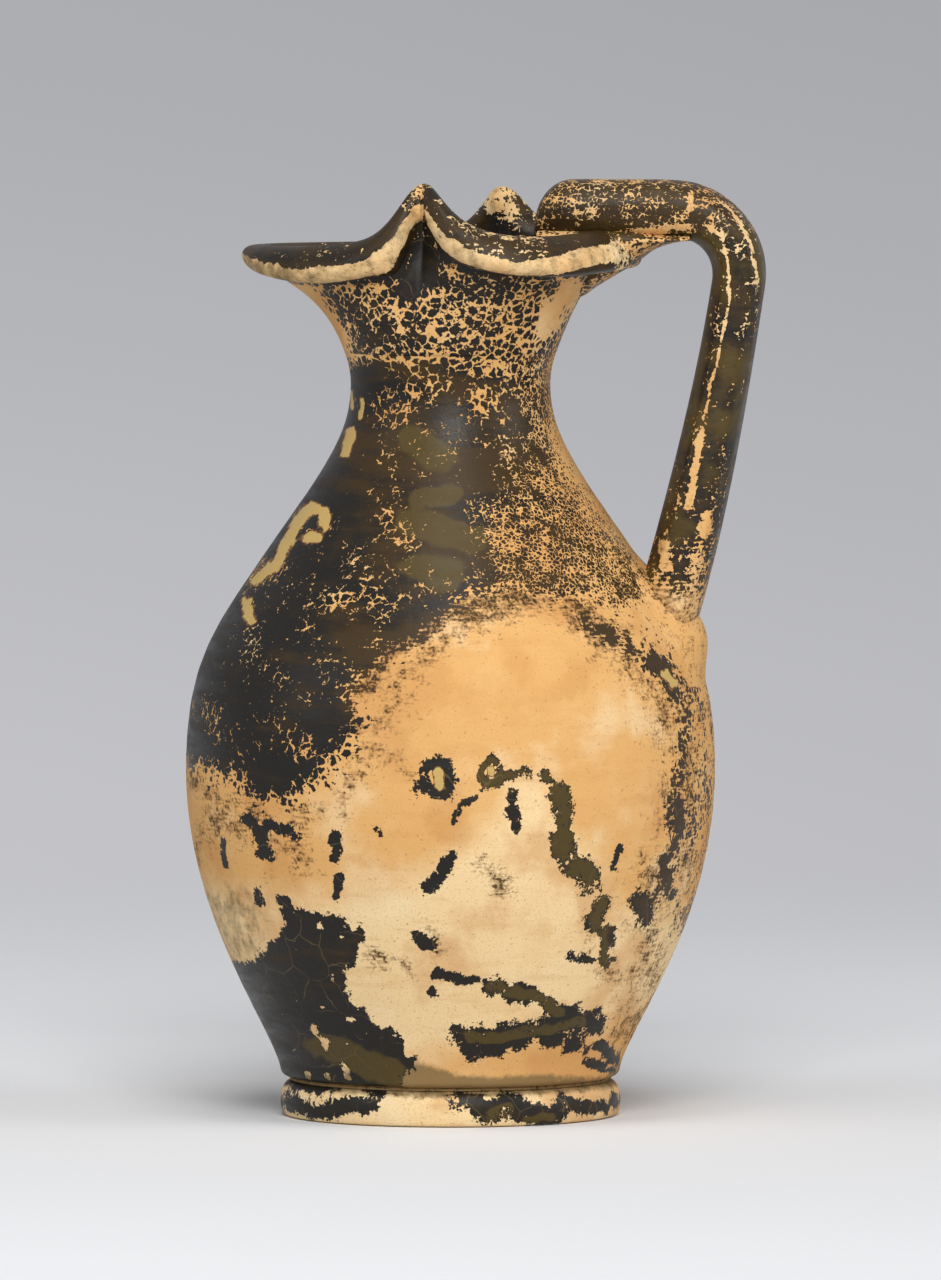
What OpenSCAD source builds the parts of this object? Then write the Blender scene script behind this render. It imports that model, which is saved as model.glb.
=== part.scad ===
// Wine jug with a trefoil mouth, a ring foot and a high strap handle, in fired clay.
// The origin is on the vessel's axis at the plane the foot rests on, +Z is up,
// +X points to the handle, and the spout points roughly to -X.
// "Near" is the -Y side and "far" is the +Y side.

/* [Foot] */
// Greatest outside radius of the ring foot
foot_r = 42.3; // [38:0.1:47]
// Height of the ring foot
foot_h = 8.8; // [7:0.1:11]
// Inside radius of the ring foot at the resting plane
foot_hollow_r = 33; // [29:0.5:35]
// How far the foot's side bulges out between its edges
foot_bulge = 1.2; // [0.4:0.1:2]
// Radius of the slip seam in the groove above the foot
seam_r = 40.2; // [37.5:0.1:41]
// How far the slip seam reaches in from the groove
seam_w = 6.2; // [4:0.1:8]
// Height of the slip seam between foot and belly
seam_h = 1; // [0.6:0.1:1.6]

/* [Belly] */
// Outside radius of the wall where it meets the slip seam
base_r = 42.2; // [41.5:0.1:45]
// Greatest outside radius of the belly
belly_r = 66; // [58:0.5:72]
// Height from the slip seam up to the belly's greatest radius
belly_rise = 76.2; // [70:0.1:84]
// Thickness of the thrown wall
wall_t = 4.4; // [3.4:0.1:5.4]
// Thickness of the floor
floor_t = 6; // [4:0.5:8]
// Radius of the inside corner between floor and wall
floor_fillet = 7; // [4:0.5:9]

/* [Shoulder and neck] */
// Outside radius halfway up the shoulder
shoulder_r = 47.5; // [44:0.5:51]
// Height from the belly's greatest radius up to that station
shoulder_rise = 52; // [48:0.5:56]
// Slope of the shoulder there, in degrees from the vertical
shoulder_slope = 34.3; // [30:0.1:39]
// Outside radius of the neck at its narrowest
neck_r = 24.8; // [22.5:0.1:27]
// Height from the shoulder station up to the narrowest point
neck_rise = 44; // [40:0.5:48]
// Height from the shoulder station up to the join of belly and neck
neck_join_rise = 25; // [20:0.5:30]
// Outside radius of the neck where the mouth begins
mouth_join_r = 26.3; // [25.6:0.1:27.5]
// Height from the narrowest point up to where the mouth begins
mouth_join_rise = 8; // [6:0.5:10]

/* [Mouth] */
// Direction of the spout, in degrees from the handle
spout_angle = 162; // [156:1:180]
// Direction of the near pinch, in degrees from the handle
near_pinch_angle = -100; // [-106:1:-92]
// Direction of the far pinch, in degrees from the handle
far_pinch_angle = 64; // [58:1:92]
// Reach of the spout's lip from the axis
spout_reach = 54.2; // [49:0.1:58]
// Reach of the two back lobes from the axis
back_reach = 47.5; // [44:0.5:50]
// Reach of the lip beside each pinch
flank_reach = 34; // [31:0.5:37]
// Depth of the fold at each pinch
fold_depth = 6; // [4:0.5:7]
// Angular width of the fold at each pinch
fold_width = 9; // [7:0.5:12]
// Height from the mouth's base up to the crest of the spout's lip
lip_rise = 26.5; // [23:0.5:30]
// How much higher the lip stands at the handle
back_lift = 4.5; // [3:0.5:7]
// How much the near pinch stands above the lip
near_peak = 16; // [12:0.5:18]
// How much the far pinch stands above the lip
far_peak = 14; // [10:0.5:18]
// How much lower the lip lies on the far side
far_drop = 1.5; // [0:0.1:3]
// Angular half width of the near peak
near_peak_width = 17; // [14:0.5:21]
// Angular half width of the far peak
far_peak_width = 16; // [12:0.5:19]
// Half width of the rolled lip
lip_half_w = 6.2; // [5.4:0.1:7]
// Half height of the rolled lip
lip_half_h = 4.4; // [3.8:0.1:5]

/* [Handle] */
// Distance from the axis to the strap's inner end
strap_start = 21.5; // [19:0.5:26]
// Reach of the handle's back from the axis
handle_reach = 78.3; // [72:0.5:86]
// How deep the strap is pressed over the rear lip
press_depth = 2.6; // [1.5:0.1:4.5]
// Radius of the bend, at the middle of the strap
bend_r = 16; // [14:0.5:18]
// Height of the strap's root on the shoulder, above the belly's greatest radius
root_rise = 41.5; // [36:0.5:46]
// How far the strap curls in below the bend
arm_curl = 5; // [0:0.5:8]
// Thickness of the strap over the lip
strap_top_t = 15; // [13:0.5:17]
// Thickness of the strap below the bend
strap_arm_t = 13.3; // [11.5:0.1:15]
// Thickness of the strap at its root
strap_root_t = 16; // [14:0.5:18]
// Width of the strap over the lip
strap_top_w = 22; // [19:0.5:25]
// Width of the strap below the bend
strap_arm_w = 20.5; // [18:0.5:24]
// Width of the strap at its root
strap_root_w = 26; // [22:0.5:29]

/* [Handle luting] */
// How far the clay stands out beside the strap at the lip
top_luting_side = 1.3; // [0.8:0.1:2]
// Greatest thickness of the clay smoothed over the root
root_luting_t = 5.6; // [4:0.2:7]
// Angular half width of that clay round the belly
root_luting_angle = 21; // [18:1:25]
// Half height of that clay on the shoulder
root_luting_h = 20; // [17:0.5:24]

/* [Hidden] */
$fn = 120;
clay = "#c98f58";
pale_clay = "#dcbf8d";
black_gloss = "#2d2925";

// Heights above the resting plane
wall_base_z = foot_h + seam_h;
belly_z = wall_base_z + belly_rise;
shoulder_z = belly_z + shoulder_rise;
neck_z = shoulder_z + neck_rise;
neck_join_z = shoulder_z + neck_join_rise;
mouth_join_z = neck_z + mouth_join_rise;
lip_z = mouth_join_z + lip_rise;

// Pulls of the wall's curves: how far each keeps its end's direction
base_pull = 0.125 * belly_rise;
belly_pull_down = 0.515 * belly_rise;
belly_pull_up = 0.505 * shoulder_rise;
shoulder_pull_down = 0.395 * shoulder_rise;
shoulder_pull_up = 0.61 * neck_rise;
neck_pull = 0.31 * neck_rise;

// A point on the cubic curve with ends a and d and pulls b and c, at t from 0 to 1
function cubic(a, b, c, d, t) =
    pow(1 - t, 3) * a + 3 * t * pow(1 - t, 2) * b + 3 * t * t * (1 - t) * c + pow(t, 3) * d;

// n steps of that curve, without its first point
function curve(a, b, c, d, n) = [for (i = [1:n]) cubic(a, b, c, d, i / n)];

// The unit vector along v
function unit(v) = v / norm(v);

// The wall's outer profile as [radius, height], from the slip seam up to the mouth
base_point = [base_r, wall_base_z];
belly_point = [belly_r, belly_z];
shoulder_point = [shoulder_r, shoulder_z];
shoulder_way = [-sin(shoulder_slope), cos(shoulder_slope)];
neck_point = [neck_r, neck_z];
outer_wall = concat(
    [base_point],
    curve(base_point, base_point + [0, base_pull], belly_point - [0, belly_pull_down], belly_point, 16),
    curve(belly_point, belly_point + [0, belly_pull_up],
        shoulder_point - shoulder_pull_down * shoulder_way, shoulder_point, 14),
    curve(shoulder_point, shoulder_point + shoulder_pull_up * shoulder_way,
        neck_point - [0, neck_pull], neck_point, 14),
    [for (i = [1:4]) [neck_r + (mouth_join_r - neck_r) * pow(i / 4, 2), neck_z + mouth_join_rise * i / 4]]);

// The inner profile lies one wall thickness inside it, square to the wall
function wall_way(i) = unit(outer_wall[min(i + 1, len(outer_wall) - 1)] - outer_wall[max(i - 1, 0)]);
inner_wall = [for (i = [0:len(outer_wall) - 1]) outer_wall[i] + wall_t * [-wall_way(i)[1], wall_way(i)[0]]];

// The radius of a profile at height z, its last slope carried on above it
function radius_at(profile, z) =
    let (last = profile[len(profile) - 1], before = profile[len(profile) - 2])
    z > last[1]
        ? last[0] + (z - last[1]) * (last[0] - before[0]) / (last[1] - before[1])
        : lookup(z, [for (p = profile) [p[1], p[0]]]);

// The stretch of a profile between two heights, with a point at each of them
function stretch(profile, low, high) = concat(
    [[radius_at(profile, low), low]],
    [for (p = profile) if (p[1] > low + 0.05 && p[1] < high - 0.05) p],
    [[radius_at(profile, high), high]]);

function backward(points) = [for (i = [len(points) - 1:-1:0]) points[i]];

// The solid that the outer wall encloses between two heights, for trimming what lies against it
module filled_wall(low, high) {
    rotate_extrude($fn = 360) polygon(concat([[0, low]], stretch(outer_wall, low, high), [[0, high]]));
}

// Outline of the mouth seen from above
function turn(a) = a - 360 * round(a / 360);

// How far round each lobe lies between its own middle and its pinch: 0 to 1
function spout_share(a) =
    let (d = turn(a - spout_angle), near_span = 360 + near_pinch_angle - spout_angle,
        far_span = spout_angle - far_pinch_angle)
    abs(d) / (d > 0 ? near_span : far_span);

function in_spout(a) = spout_share(a) < 1;

function pinch_gap(a) = min(abs(turn(a - near_pinch_angle)), abs(turn(a - far_pinch_angle)));

// The lobe's reach: a narrow spout in front, two broad lobes behind that level out towards the handle
back_span = 60;
function lobe_reach(a) = in_spout(a)
    ? flank_reach + (spout_reach - flank_reach)
        * (0.3 * cos(90 * spout_share(a)) + 0.7 * pow(cos(90 * spout_share(a)), 4))
    : flank_reach + (back_reach - flank_reach) * sin(90 * min(pinch_gap(a) / back_span, 1));

// The fold: 1 at a pinch, falling away on both sides of a slightly rounded bottom
fold_round = 2.5;
function fold(a) = exp(-(norm([pinch_gap(a), fold_round]) - fold_round) / fold_width);
function lip_reach(a) = lobe_reach(a) - fold_depth * fold(a);
function lip_half_width(a) = lip_half_w * (1 - 0.43 * fold(a));

// Height of the lip's crest: rising to the handle, with a rounded peak at each pinch.
// Each peak is broader on its anticlockwise side, by its skew.
near_skew = 0.13;
far_skew = 0.32;
function peak(d, width, skew) = 1 / (1 + pow(abs(d) / width / (1 + skew * sign(d)), 2.4));
function crest_height(a) = lip_z + back_lift * pow((1 + cos(a)) / 2, 4) - far_drop * (1 + sin(a)) / 2
    + near_peak * peak(turn(a - near_pinch_angle), near_peak_width, near_skew)
    + far_peak * peak(turn(a - far_pinch_angle), far_peak_width, far_skew);

// The lip is drawn taller where it climbs, so that its roll keeps its thickness
function lip_middle_r(a) = lip_reach(a) - lip_half_width(a);
function lip_slope(a) = (crest_height(a + 1) - crest_height(a - 1))
    / norm([lip_middle_r(a + 1) - lip_middle_r(a - 1), 2 * PI / 180 * lip_middle_r(a)]);
function lip_climb(a) = norm([1, lip_slope(a)]);

// The lip droops outwards all round but at the spout's tip, where it is thinner and turns up
lip_droop = 0.35;
function tip_share(a) = pow(max(0, cos(a - spout_angle)), 6);
function droop(a) = lip_droop * (1 - 1.9 * tip_share(a));
function lip_half_height(a) = lip_climb(a) * lip_half_h * (1 - 0.2 * tip_share(a));
function lip_height(a) = crest_height(a) - norm([lip_half_height(a), droop(a) * lip_half_width(a)]);

// One point of the lip's roll at angle b round its section, 0 at the outer edge and 90 on top
function lip_point(a, b) =
    let (w = lip_half_width(a))
    [lip_middle_r(a) + w * cos(b), lip_height(a) + lip_half_height(a) * sin(b) - droop(a) * w * cos(b)];

// The mouth's wall at angle a round the vessel, as [radius, height]: up the outside, over the lip, down inside
wall_steps = 7;
roll_steps = 12;
function mouth_section(a) =
    let (outer_foot = [mouth_join_r, mouth_join_z],
        inner_foot = [radius_at(inner_wall, mouth_join_z), mouth_join_z],
        flare = unit([2 * (mouth_join_r - neck_r), mouth_join_rise]),
        middle = [lip_middle_r(a), lip_height(a)],
        lean = atan2(middle[1] - mouth_join_z, middle[0] - mouth_join_r),
        under = lip_point(a, lean - 170),
        inside = lip_point(a, lean + 120),
        out_span = norm(under - outer_foot),
        in_span = norm(inside - inner_foot),
        out_way = [cos(lean - 15), sin(lean - 15)],
        in_way = [cos(lean + 5), sin(lean + 5)])
    concat(
        [outer_foot],
        curve(outer_foot, outer_foot + 0.4 * out_span * flare, under - 0.35 * out_span * out_way, under, wall_steps),
        [for (i = [1:roll_steps]) lip_point(a, lean - 170 + 290 * i / (roll_steps + 1))],
        backward(concat([inner_foot], curve(inner_foot, inner_foot + 0.35 * in_span * flare,
            inside - 0.3 * in_span * in_way, inside, wall_steps))));

function upright(p, a) = [p[0] * cos(a), p[0] * sin(a), p[1]];

// Triangles of a net of points with the given rows and columns, closed along its rows' ends
function net_faces(rows, columns, closed_round) = [
    for (i = [0:columns - (closed_round ? 1 : 2)], j = [0:rows - 1])
        let (k = (i + 1) % columns, m = (j + 1) % rows)
        each [[i * rows + j, i * rows + m, k * rows + m], [i * rows + j, k * rows + m, k * rows + j]]];

// Triangles that close an open net's end, from its outer half of points to its inner half
function end_faces(rows, column, flip) = [
    for (j = [0:floor(rows / 2) - 2])
        let (a = column * rows + j, b = a + 1, d = column * rows + rows - 1 - j, c = d - 1)
        each (flip ? [[a, b, c], [a, c, d]] : [[a, c, b], [a, d, c]])];

mouth_rows = len(mouth_section(0));
mouth_step = 3;

module mouth_ring() {
    columns = 360 / mouth_step;
    polyhedron(
        [for (i = [0:columns - 1]) each [for (p = mouth_section(i * mouth_step)) upright(p, i * mouth_step)]],
        net_faces(mouth_rows, columns, true));
}

// The part of the mouth behind the handle, on the same points as the whole ring
module mouth_behind_handle() {
    reach = 14;
    columns = 2 * reach + 1;
    polyhedron(
        [for (i = [-reach:reach]) each [for (p = mouth_section(i * mouth_step)) upright(p, i * mouth_step)]],
        concat(net_faces(mouth_rows, columns, false),
            end_faces(mouth_rows, 0, false), end_faces(mouth_rows, columns - 1, true)));
}

// The strap's middle line: level over the lip, round the bend, curling in down to the shoulder.
// It reaches furthest out at the bend's depth, and runs on into the wall past its root.
root_sunk = 9;
strap_under_z = crest_height(0) - press_depth;
strap_top_z = strap_under_z + strap_top_t / 2;
root_z = belly_z + root_rise;
root_point = [radius_at(outer_wall, root_z), root_z];
arm_x = handle_reach - strap_arm_t / 2;
bend_depth = 1.19 * bend_r;
handle_lean = atan2(arm_x - root_point[0] - arm_curl, strap_top_z - bend_depth - root_z);
corner_x = arm_x + bend_depth * tan(handle_lean);
bend_run = bend_r * tan(45 + handle_lean / 2);
bend_middle = [corner_x - bend_run, strap_top_z - bend_r];
arm_way = [-sin(handle_lean), -cos(handle_lean)];
arm_start = [corner_x, strap_top_z] + bend_run * arm_way;
arm_length = norm(root_point + [arm_curl, 0] - arm_start);
level_length = corner_x - bend_run - strap_start;
bend_length = PI / 180 * bend_r * (90 + handle_lean);
strap_length = level_length + bend_length + arm_length + root_sunk;

// Place and heading of the middle line at distance s from its inner end
function strap_place(s) =
    s < level_length ? [strap_start + s, strap_top_z]
    : s < level_length + bend_length
        ? let (b = 90 - (s - level_length) * 180 / PI / bend_r) bend_middle + bend_r * [cos(b), sin(b)]
        : let (t = (s - level_length - bend_length) / arm_length)
            arm_start + t * arm_length * arm_way - [arm_curl * t * t, 0];
function strap_heading(s) =
    -min(max((s - level_length) * 180 / PI / bend_r, 0), 90 + handle_lean)
    - atan(2 * arm_curl * max(0, s - level_length - bend_length) / pow(arm_length, 2));

// Ease from 0 to 1 as s goes from low to high
function ease(s, low, high) = let (t = min(max((s - low) / (high - low), 0), 1)) t * t * (3 - 2 * t);

// The inner end is rounded on top and at its corners
end_round = 9;
end_drop = 11;
function end_share(s) = s < end_round ? 1 - sqrt(1 - pow(1 - s / end_round, 2)) : 0;
function strap_t(s) = strap_top_t - end_drop * end_share(s)
    + (strap_arm_t - strap_top_t) * ease(s, level_length - 6, level_length + bend_length * 0.6)
    + (strap_root_t - strap_arm_t) * ease(s, level_length + bend_length, strap_length - root_sunk);
function strap_w(s) = strap_top_w * (1 - 0.45 * end_share(s))
    + (strap_arm_w - strap_top_w) * ease(s, level_length, level_length + bend_length)
    + (strap_root_w - strap_arm_w) * ease(s, level_length + bend_length, strap_length - root_sunk);

// A strap section at distance s: a rounded oblong, fuller than an ellipse
strap_sides = 20;
function bulged(v, power) = sign(v) * pow(abs(v), power);
function strap_section(s) =
    let (place = strap_place(s), h = strap_heading(s), up = [-sin(h), cos(h)],
        middle = place - end_drop / 2 * end_share(s) * up)
    [for (i = [0:strap_sides - 1])
        let (b = 360 * (i + 0.5) / strap_sides,
            across = strap_w(s) / 2 * bulged(sin(b), 0.7),
            out = strap_t(s) / 2 * bulged(cos(b), 0.78),
            p = middle + out * up)
        [p[0], -across, p[1]]];

strap_stations = concat(
    [for (i = [0:4]) end_round * pow(i / 4, 1.6)],
    [for (i = [1:5]) end_round + (level_length - end_round) * i / 5],
    [for (i = [1:14]) level_length + bend_length * i / 14],
    [for (i = [1:18]) level_length + bend_length + (arm_length + root_sunk) * i / 18]);

function tube_faces(sides, rings) = concat(
    [[for (i = [0:sides - 1]) i]],
    [for (j = [0:rings - 2], i = [0:sides - 1])
        let (k = (i + 1) % sides)
        each [[j * sides + i, (j + 1) * sides + i, (j + 1) * sides + k],
            [j * sides + i, (j + 1) * sides + k, j * sides + k]]],
    [[for (i = [sides - 1:-1:0]) (rings - 1) * sides + i]]);

module whole_strap() {
    polyhedron([for (s = strap_stations) each strap_section(s)], tube_faces(strap_sides, len(strap_stations)));
}

// The clay under the strap's end: its underside as [distance from the axis, depth below the strap]
rear_reach = lip_reach(0);
luting_underside = [
    [strap_start + 1, 4], [strap_start + 4, 8], [strap_start + 8, 13], [rear_reach - 13, 15],
    [rear_reach - 10, 11.4], [rear_reach - 6, 8.2], [rear_reach - 0.5, 5], [rear_reach + 2.5, 2.2],
    [rear_reach + 6, 0.8], [rear_reach + 10, -0.2], [rear_reach + 13, -0.6]];
// Each section bites up into the strap, and narrows where the clay runs out under it
luting_sides = 16;
luting_bite = 3;
function luting_section(p) = [for (i = [0:luting_sides - 1])
    let (b = 360 * (i + 0.5) / luting_sides,
        full = ease(p[1], -1, 7),
        half_w = (strap_top_w / 2 + top_luting_side) * (0.62 + 0.38 * full),
        bite = luting_bite * (0.5 + 0.5 * full))
    [p[0], -half_w * bulged(sin(b), 0.7),
        strap_under_z + (cos(b) > 0 ? bite * bulged(cos(b), 0.7) : (p[1] + 0.6) * -bulged(-cos(b), 0.7))]];

// The clay over the root: a low mound on the belly wall, thickest at its middle, its rim just under the surface
mound_columns = 16;
mound_rows = 14;
mound_middle_z = root_z - 3.5;
mound_sunk = 2.5;
mound_rim = 0.4;
function mound_point(u, v, depth) =
    let (z = mound_middle_z + root_luting_h * v,
        lift = (root_luting_t + mound_rim) * pow(max(0, 1 - u * u), 2) * pow(max(0, 1 - v * v), 3) - mound_rim)
    upright([radius_at(outer_wall, z) + (depth ? -mound_sunk : lift), z], root_luting_angle * u);
function mound_share(i, n) = -1 + 2 * i / n;

module mound() {
    across = mound_columns + 1;
    up = mound_rows + 1;
    sheet = across * up;
    points = [for (depth = [0, 1]) each [for (i = [0:mound_columns], j = [0:mound_rows])
        mound_point(mound_share(i, mound_columns), mound_share(j, mound_rows), depth == 1)]];
    sheet_faces = [for (depth = [0, 1], i = [0:mound_columns - 1], j = [0:mound_rows - 1])
        let (a = depth * sheet + i * up + j, b = a + up)
        each (depth == 0 ? [[a, a + 1, b + 1], [a, b + 1, b]] : [[a, b + 1, a + 1], [a, b, b + 1]])];
    rim_faces = concat(
        [for (i = [0:mound_columns - 1]) let (a = i * up, b = a + up)
            each [[a, b, b + sheet], [a, b + sheet, a + sheet]]],
        [for (i = [0:mound_columns - 1]) let (a = i * up + mound_rows, b = a + up)
            each [[b, a, a + sheet], [b, a + sheet, b + sheet]]],
        [for (j = [0:mound_rows - 1]) each [[j + 1, j, j + sheet], [j + 1, j + sheet, j + 1 + sheet]]],
        [for (j = [0:mound_rows - 1]) let (a = mound_columns * up + j)
            each [[a, a + 1, a + 1 + sheet], [a, a + 1 + sheet, a + sheet]]]);
    polyhedron(points, concat(sheet_faces, rim_faces));
}

// Turned ring with a gently bulging side and a hollow underside
module ring_foot() {
    steps = 8;
    edge = 1.5;
    taper = 2;
    side = [for (i = [0:steps])
        let (t = i / steps) [foot_r - foot_bulge * pow(abs(2 * t - 0.85), 2.2), foot_h * t]];
    color(pale_clay)
        rotate_extrude()
            polygon(concat(
                [[foot_hollow_r, edge], [foot_hollow_r + edge, 0]],
                side,
                [[foot_hollow_r - taper, foot_h], [foot_hollow_r - taper, foot_h - edge]]));
}

// Slip that fills the groove between the foot and the belly
module foot_luting() {
    color(clay)
        translate([0, 0, foot_h])
            difference() {
                cylinder(r = seam_r, h = seam_h);
                translate([0, 0, -1])
                    cylinder(r = seam_r - seam_w, h = seam_h + 2);
            }
}

// Thrown body from the floor up to the join low on the neck
module belly_wall() {
    floor_z = wall_base_z + floor_t;
    corner_r = radius_at(inner_wall, floor_z + floor_fillet) - floor_fillet;
    corner = [for (b = [0:-15:-90])
        [corner_r + floor_fillet * cos(b), floor_z + floor_fillet + floor_fillet * sin(b)]];
    color(clay)
        rotate_extrude()
            polygon(concat(
                [[0, wall_base_z]],
                stretch(outer_wall, wall_base_z, neck_join_z),
                backward(stretch(inner_wall, floor_z + floor_fillet + 0.2, neck_join_z)),
                corner,
                [[0, floor_z]]));
}

// Thrown collar from the join up to the foot of the mouth
module neck_wall() {
    color(black_gloss)
        rotate_extrude()
            polygon(concat(
                stretch(outer_wall, neck_join_z, mouth_join_z),
                backward(stretch(inner_wall, neck_join_z, mouth_join_z))));
}

// Flared mouth with its rolled lip, pinched into a spout and two back lobes
module trefoil_mouth() {
    color(black_gloss)
        mouth_ring();
}

// Pulled strap, pressed over the rear lip above and set on the shoulder below
module handle() {
    color(black_gloss)
        difference() {
            whole_strap();
            mouth_behind_handle();
            filled_wall(belly_z, neck_join_z);
        }
}

// Clay pressed in under the strap, inside and outside the rear lip
module handle_top_luting() {
    color(black_gloss)
        difference() {
            polyhedron([for (p = luting_underside) each luting_section(p)],
                tube_faces(luting_sides, len(luting_underside)));
            mouth_behind_handle();
            whole_strap();
        }
}

// Clay smoothed down round the strap's root
module handle_root_luting() {
    color(clay)
        difference() {
            mound();
            filled_wall(belly_z - root_luting_h, neck_join_z + 2);
            whole_strap();
        }
}

ring_foot();
foot_luting();
belly_wall();
neck_wall();
trefoil_mouth();
handle();
handle_top_luting();
handle_root_luting();
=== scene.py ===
# %% [markdown]
# A worn wine jug, piece by piece.
# The real jug is thrown and turned clay, dipped in a thin slip that fires to a black gloss.
# Over centuries the gloss has crackled, flaked and rubbed away, so the orange and cream clay shows.
# The frame gives the jug's solids. Here each one gets a finer surface and that worn finish.

import bpy
import numpy as np
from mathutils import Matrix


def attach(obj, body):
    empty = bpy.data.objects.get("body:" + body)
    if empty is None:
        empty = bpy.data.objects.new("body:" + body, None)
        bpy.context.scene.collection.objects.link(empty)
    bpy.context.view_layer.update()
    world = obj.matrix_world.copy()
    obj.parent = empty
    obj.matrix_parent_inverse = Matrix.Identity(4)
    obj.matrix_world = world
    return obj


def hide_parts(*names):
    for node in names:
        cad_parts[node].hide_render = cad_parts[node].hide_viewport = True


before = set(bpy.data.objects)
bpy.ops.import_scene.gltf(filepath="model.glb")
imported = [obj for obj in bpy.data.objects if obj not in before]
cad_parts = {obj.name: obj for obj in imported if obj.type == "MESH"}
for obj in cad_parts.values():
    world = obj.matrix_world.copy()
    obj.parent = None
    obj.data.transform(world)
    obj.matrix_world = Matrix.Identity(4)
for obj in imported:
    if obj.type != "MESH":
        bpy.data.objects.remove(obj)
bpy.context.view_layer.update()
print("solids:", sorted(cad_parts))

# %% [markdown]
# Shapes are worked out in millimetres with numpy and put into meshes in metres.
# A grid of points, rows by columns, is the simplest way to hold a curved surface:
# a thrown wall is one, with the wall's outline down the rows and the wheel's turn along the columns.

# %% Grids of points to meshes
MM = 0.001


def mesh_piece(name, points, faces, sharp_angle=50.0):
    """A mesh object from points in millimetres, times 0.001 for metres, and faces as point numbers.

    Faces are shaded smooth, and only edges sharper than the angle in degrees stay crisp.
    """
    mesh = bpy.data.meshes.new(name)
    mesh.from_pydata((points * MM).tolist(), [], faces)
    mesh.validate()
    mesh.polygons.foreach_set("use_smooth", np.ones(len(mesh.polygons), dtype=bool))
    mesh.set_sharp_from_angle(angle=np.radians(sharp_angle))
    piece = bpy.data.objects.new(name, mesh)
    bpy.context.scene.collection.objects.link(piece)
    print(name, len(mesh.vertices), "points,", len(mesh.polygons), "faces")
    return piece


def grid_quads(rows, columns, wrap_rows, wrap_columns):
    """Four-sided faces between neighbouring rows and columns.

    A point's number is its row times the count of columns, plus its column.
    """
    j = np.arange(rows if wrap_rows else rows - 1)[:, None]
    i = np.arange(columns if wrap_columns else columns - 1)[None, :]
    j2, i2 = (j + 1) % rows, (i + 1) % columns
    quads = np.stack([j * columns + i, j * columns + i2, j2 * columns + i2, j2 * columns + i], axis=-1)
    return quads.reshape(-1, 4).tolist()


def on_circle(radius, angle, z):
    """Points at a radius, an angle and a height: (radius cos angle, radius sin angle, height)."""
    return np.stack(np.broadcast_arrays(radius * np.cos(angle), radius * np.sin(angle), z), axis=-1)


def pole_fan(first, columns, pole, flip):
    """Triangles from one closed row of points to a single point, its pole."""
    i = np.arange(columns)
    a, b = first + i, first + (i + 1) % columns
    ends = np.full(columns, pole)
    return np.stack([b, a, ends] if flip else [a, b, ends], axis=-1).tolist()


def tube_faces(rows, columns):
    """Faces of a tube of closed rows, with its last two points as the poles that close its ends."""
    count = rows * columns
    return (grid_quads(rows, columns, False, True) + pole_fan(0, columns, count, True)
            + pole_fan(count - columns, columns, count + 1, False))


# %% [markdown]
# The wall's outline is a chain of smooth curves through the widths of the foot, belly, shoulder and neck.
# A potter judges it the same way, as a few widths joined by one sweep of the rib.
# The widths are the solids' own, so the finer surface lies on them.

# %% The thrown wall's outline
BASE_Z, JOIN_Z, MOUTH_Z = 9.8, 163.0, 190.0
BASE_R, BELLY_R, SHOULDER_R, NECK_R, MOUTH_R = 42.2, 66.0, 47.5, 24.8, 26.3
BELLY_Z, SHOULDER_Z, NECK_Z = 86.0, 138.0, 182.0
WALL_T, FLOOR_T, FLOOR_FILLET = 4.4, 6.0, 7.0
SHOULDER_SLOPE = np.radians(34.3)


def cubic(a, b, c, d, count, endpoint=True):
    """Points on a smooth curve from a to d, which b and c pull at.

    With t from 0 to 1 the four are weighted by (1-t)^3, 3t(1-t)^2, 3t^2(1-t) and t^3.
    They may be points or whole rows of points. Without its endpoint the curve stops a step short.
    """
    a, b, c, d = (np.asarray(p, float) for p in (a, b, c, d))
    t = np.linspace(0.0, 1.0, count, endpoint=endpoint).reshape(-1, *[1] * a.ndim)
    return (1 - t) ** 3 * a + 3 * t * (1 - t) ** 2 * b + 3 * t * t * (1 - t) * c + t ** 3 * d


def wall_outline():
    """Radius and height of the wall's outside, from the groove over the foot up to the mouth.

    Three smooth curves join foot, belly, shoulder and neck, and the radius then grows with t^2 to the mouth.
    """
    way = np.array([-np.sin(SHOULDER_SLOPE), np.cos(SHOULDER_SLOPE)])
    shoulder = np.array([SHOULDER_R, SHOULDER_Z])
    rise = [BELLY_Z - BASE_Z, SHOULDER_Z - BELLY_Z, NECK_Z - SHOULDER_Z]
    lower = cubic((BASE_R, BASE_Z), (BASE_R, BASE_Z + 0.125 * rise[0]),
                  (BELLY_R, BELLY_Z - 0.515 * rise[0]), (BELLY_R, BELLY_Z), 90)
    upper = cubic((BELLY_R, BELLY_Z), (BELLY_R, BELLY_Z + 0.505 * rise[1]),
                  shoulder - 0.395 * rise[1] * way, shoulder, 70)
    neck = cubic(shoulder, shoulder + 0.61 * rise[2] * way,
                 (NECK_R, NECK_Z - 0.31 * rise[2]), (NECK_R, NECK_Z), 60)
    t = np.linspace(0.0, 1.0, 16)[:, None]
    top = np.hstack([NECK_R + (MOUTH_R - NECK_R) * t ** 2, NECK_Z + (MOUTH_Z - NECK_Z) * t])
    return np.vstack([lower, upper[1:], neck[1:], top[1:]])


outer_wall = wall_outline()
wall_way = np.gradient(outer_wall, axis=0)
wall_way /= np.linalg.norm(wall_way, axis=1, keepdims=True)
inner_wall = outer_wall + WALL_T * np.stack([-wall_way[:, 1], wall_way[:, 0]], axis=1)
print("wall outline:", len(outer_wall), "points, widest", round(float(outer_wall[:, 0].max()), 1), "mm")

# %% [markdown]
# Every piece takes its own part of that outline, between two heights. The points are spaced evenly along it,
# so faces stay about square where the wall leans as well as where it is steep.

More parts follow.
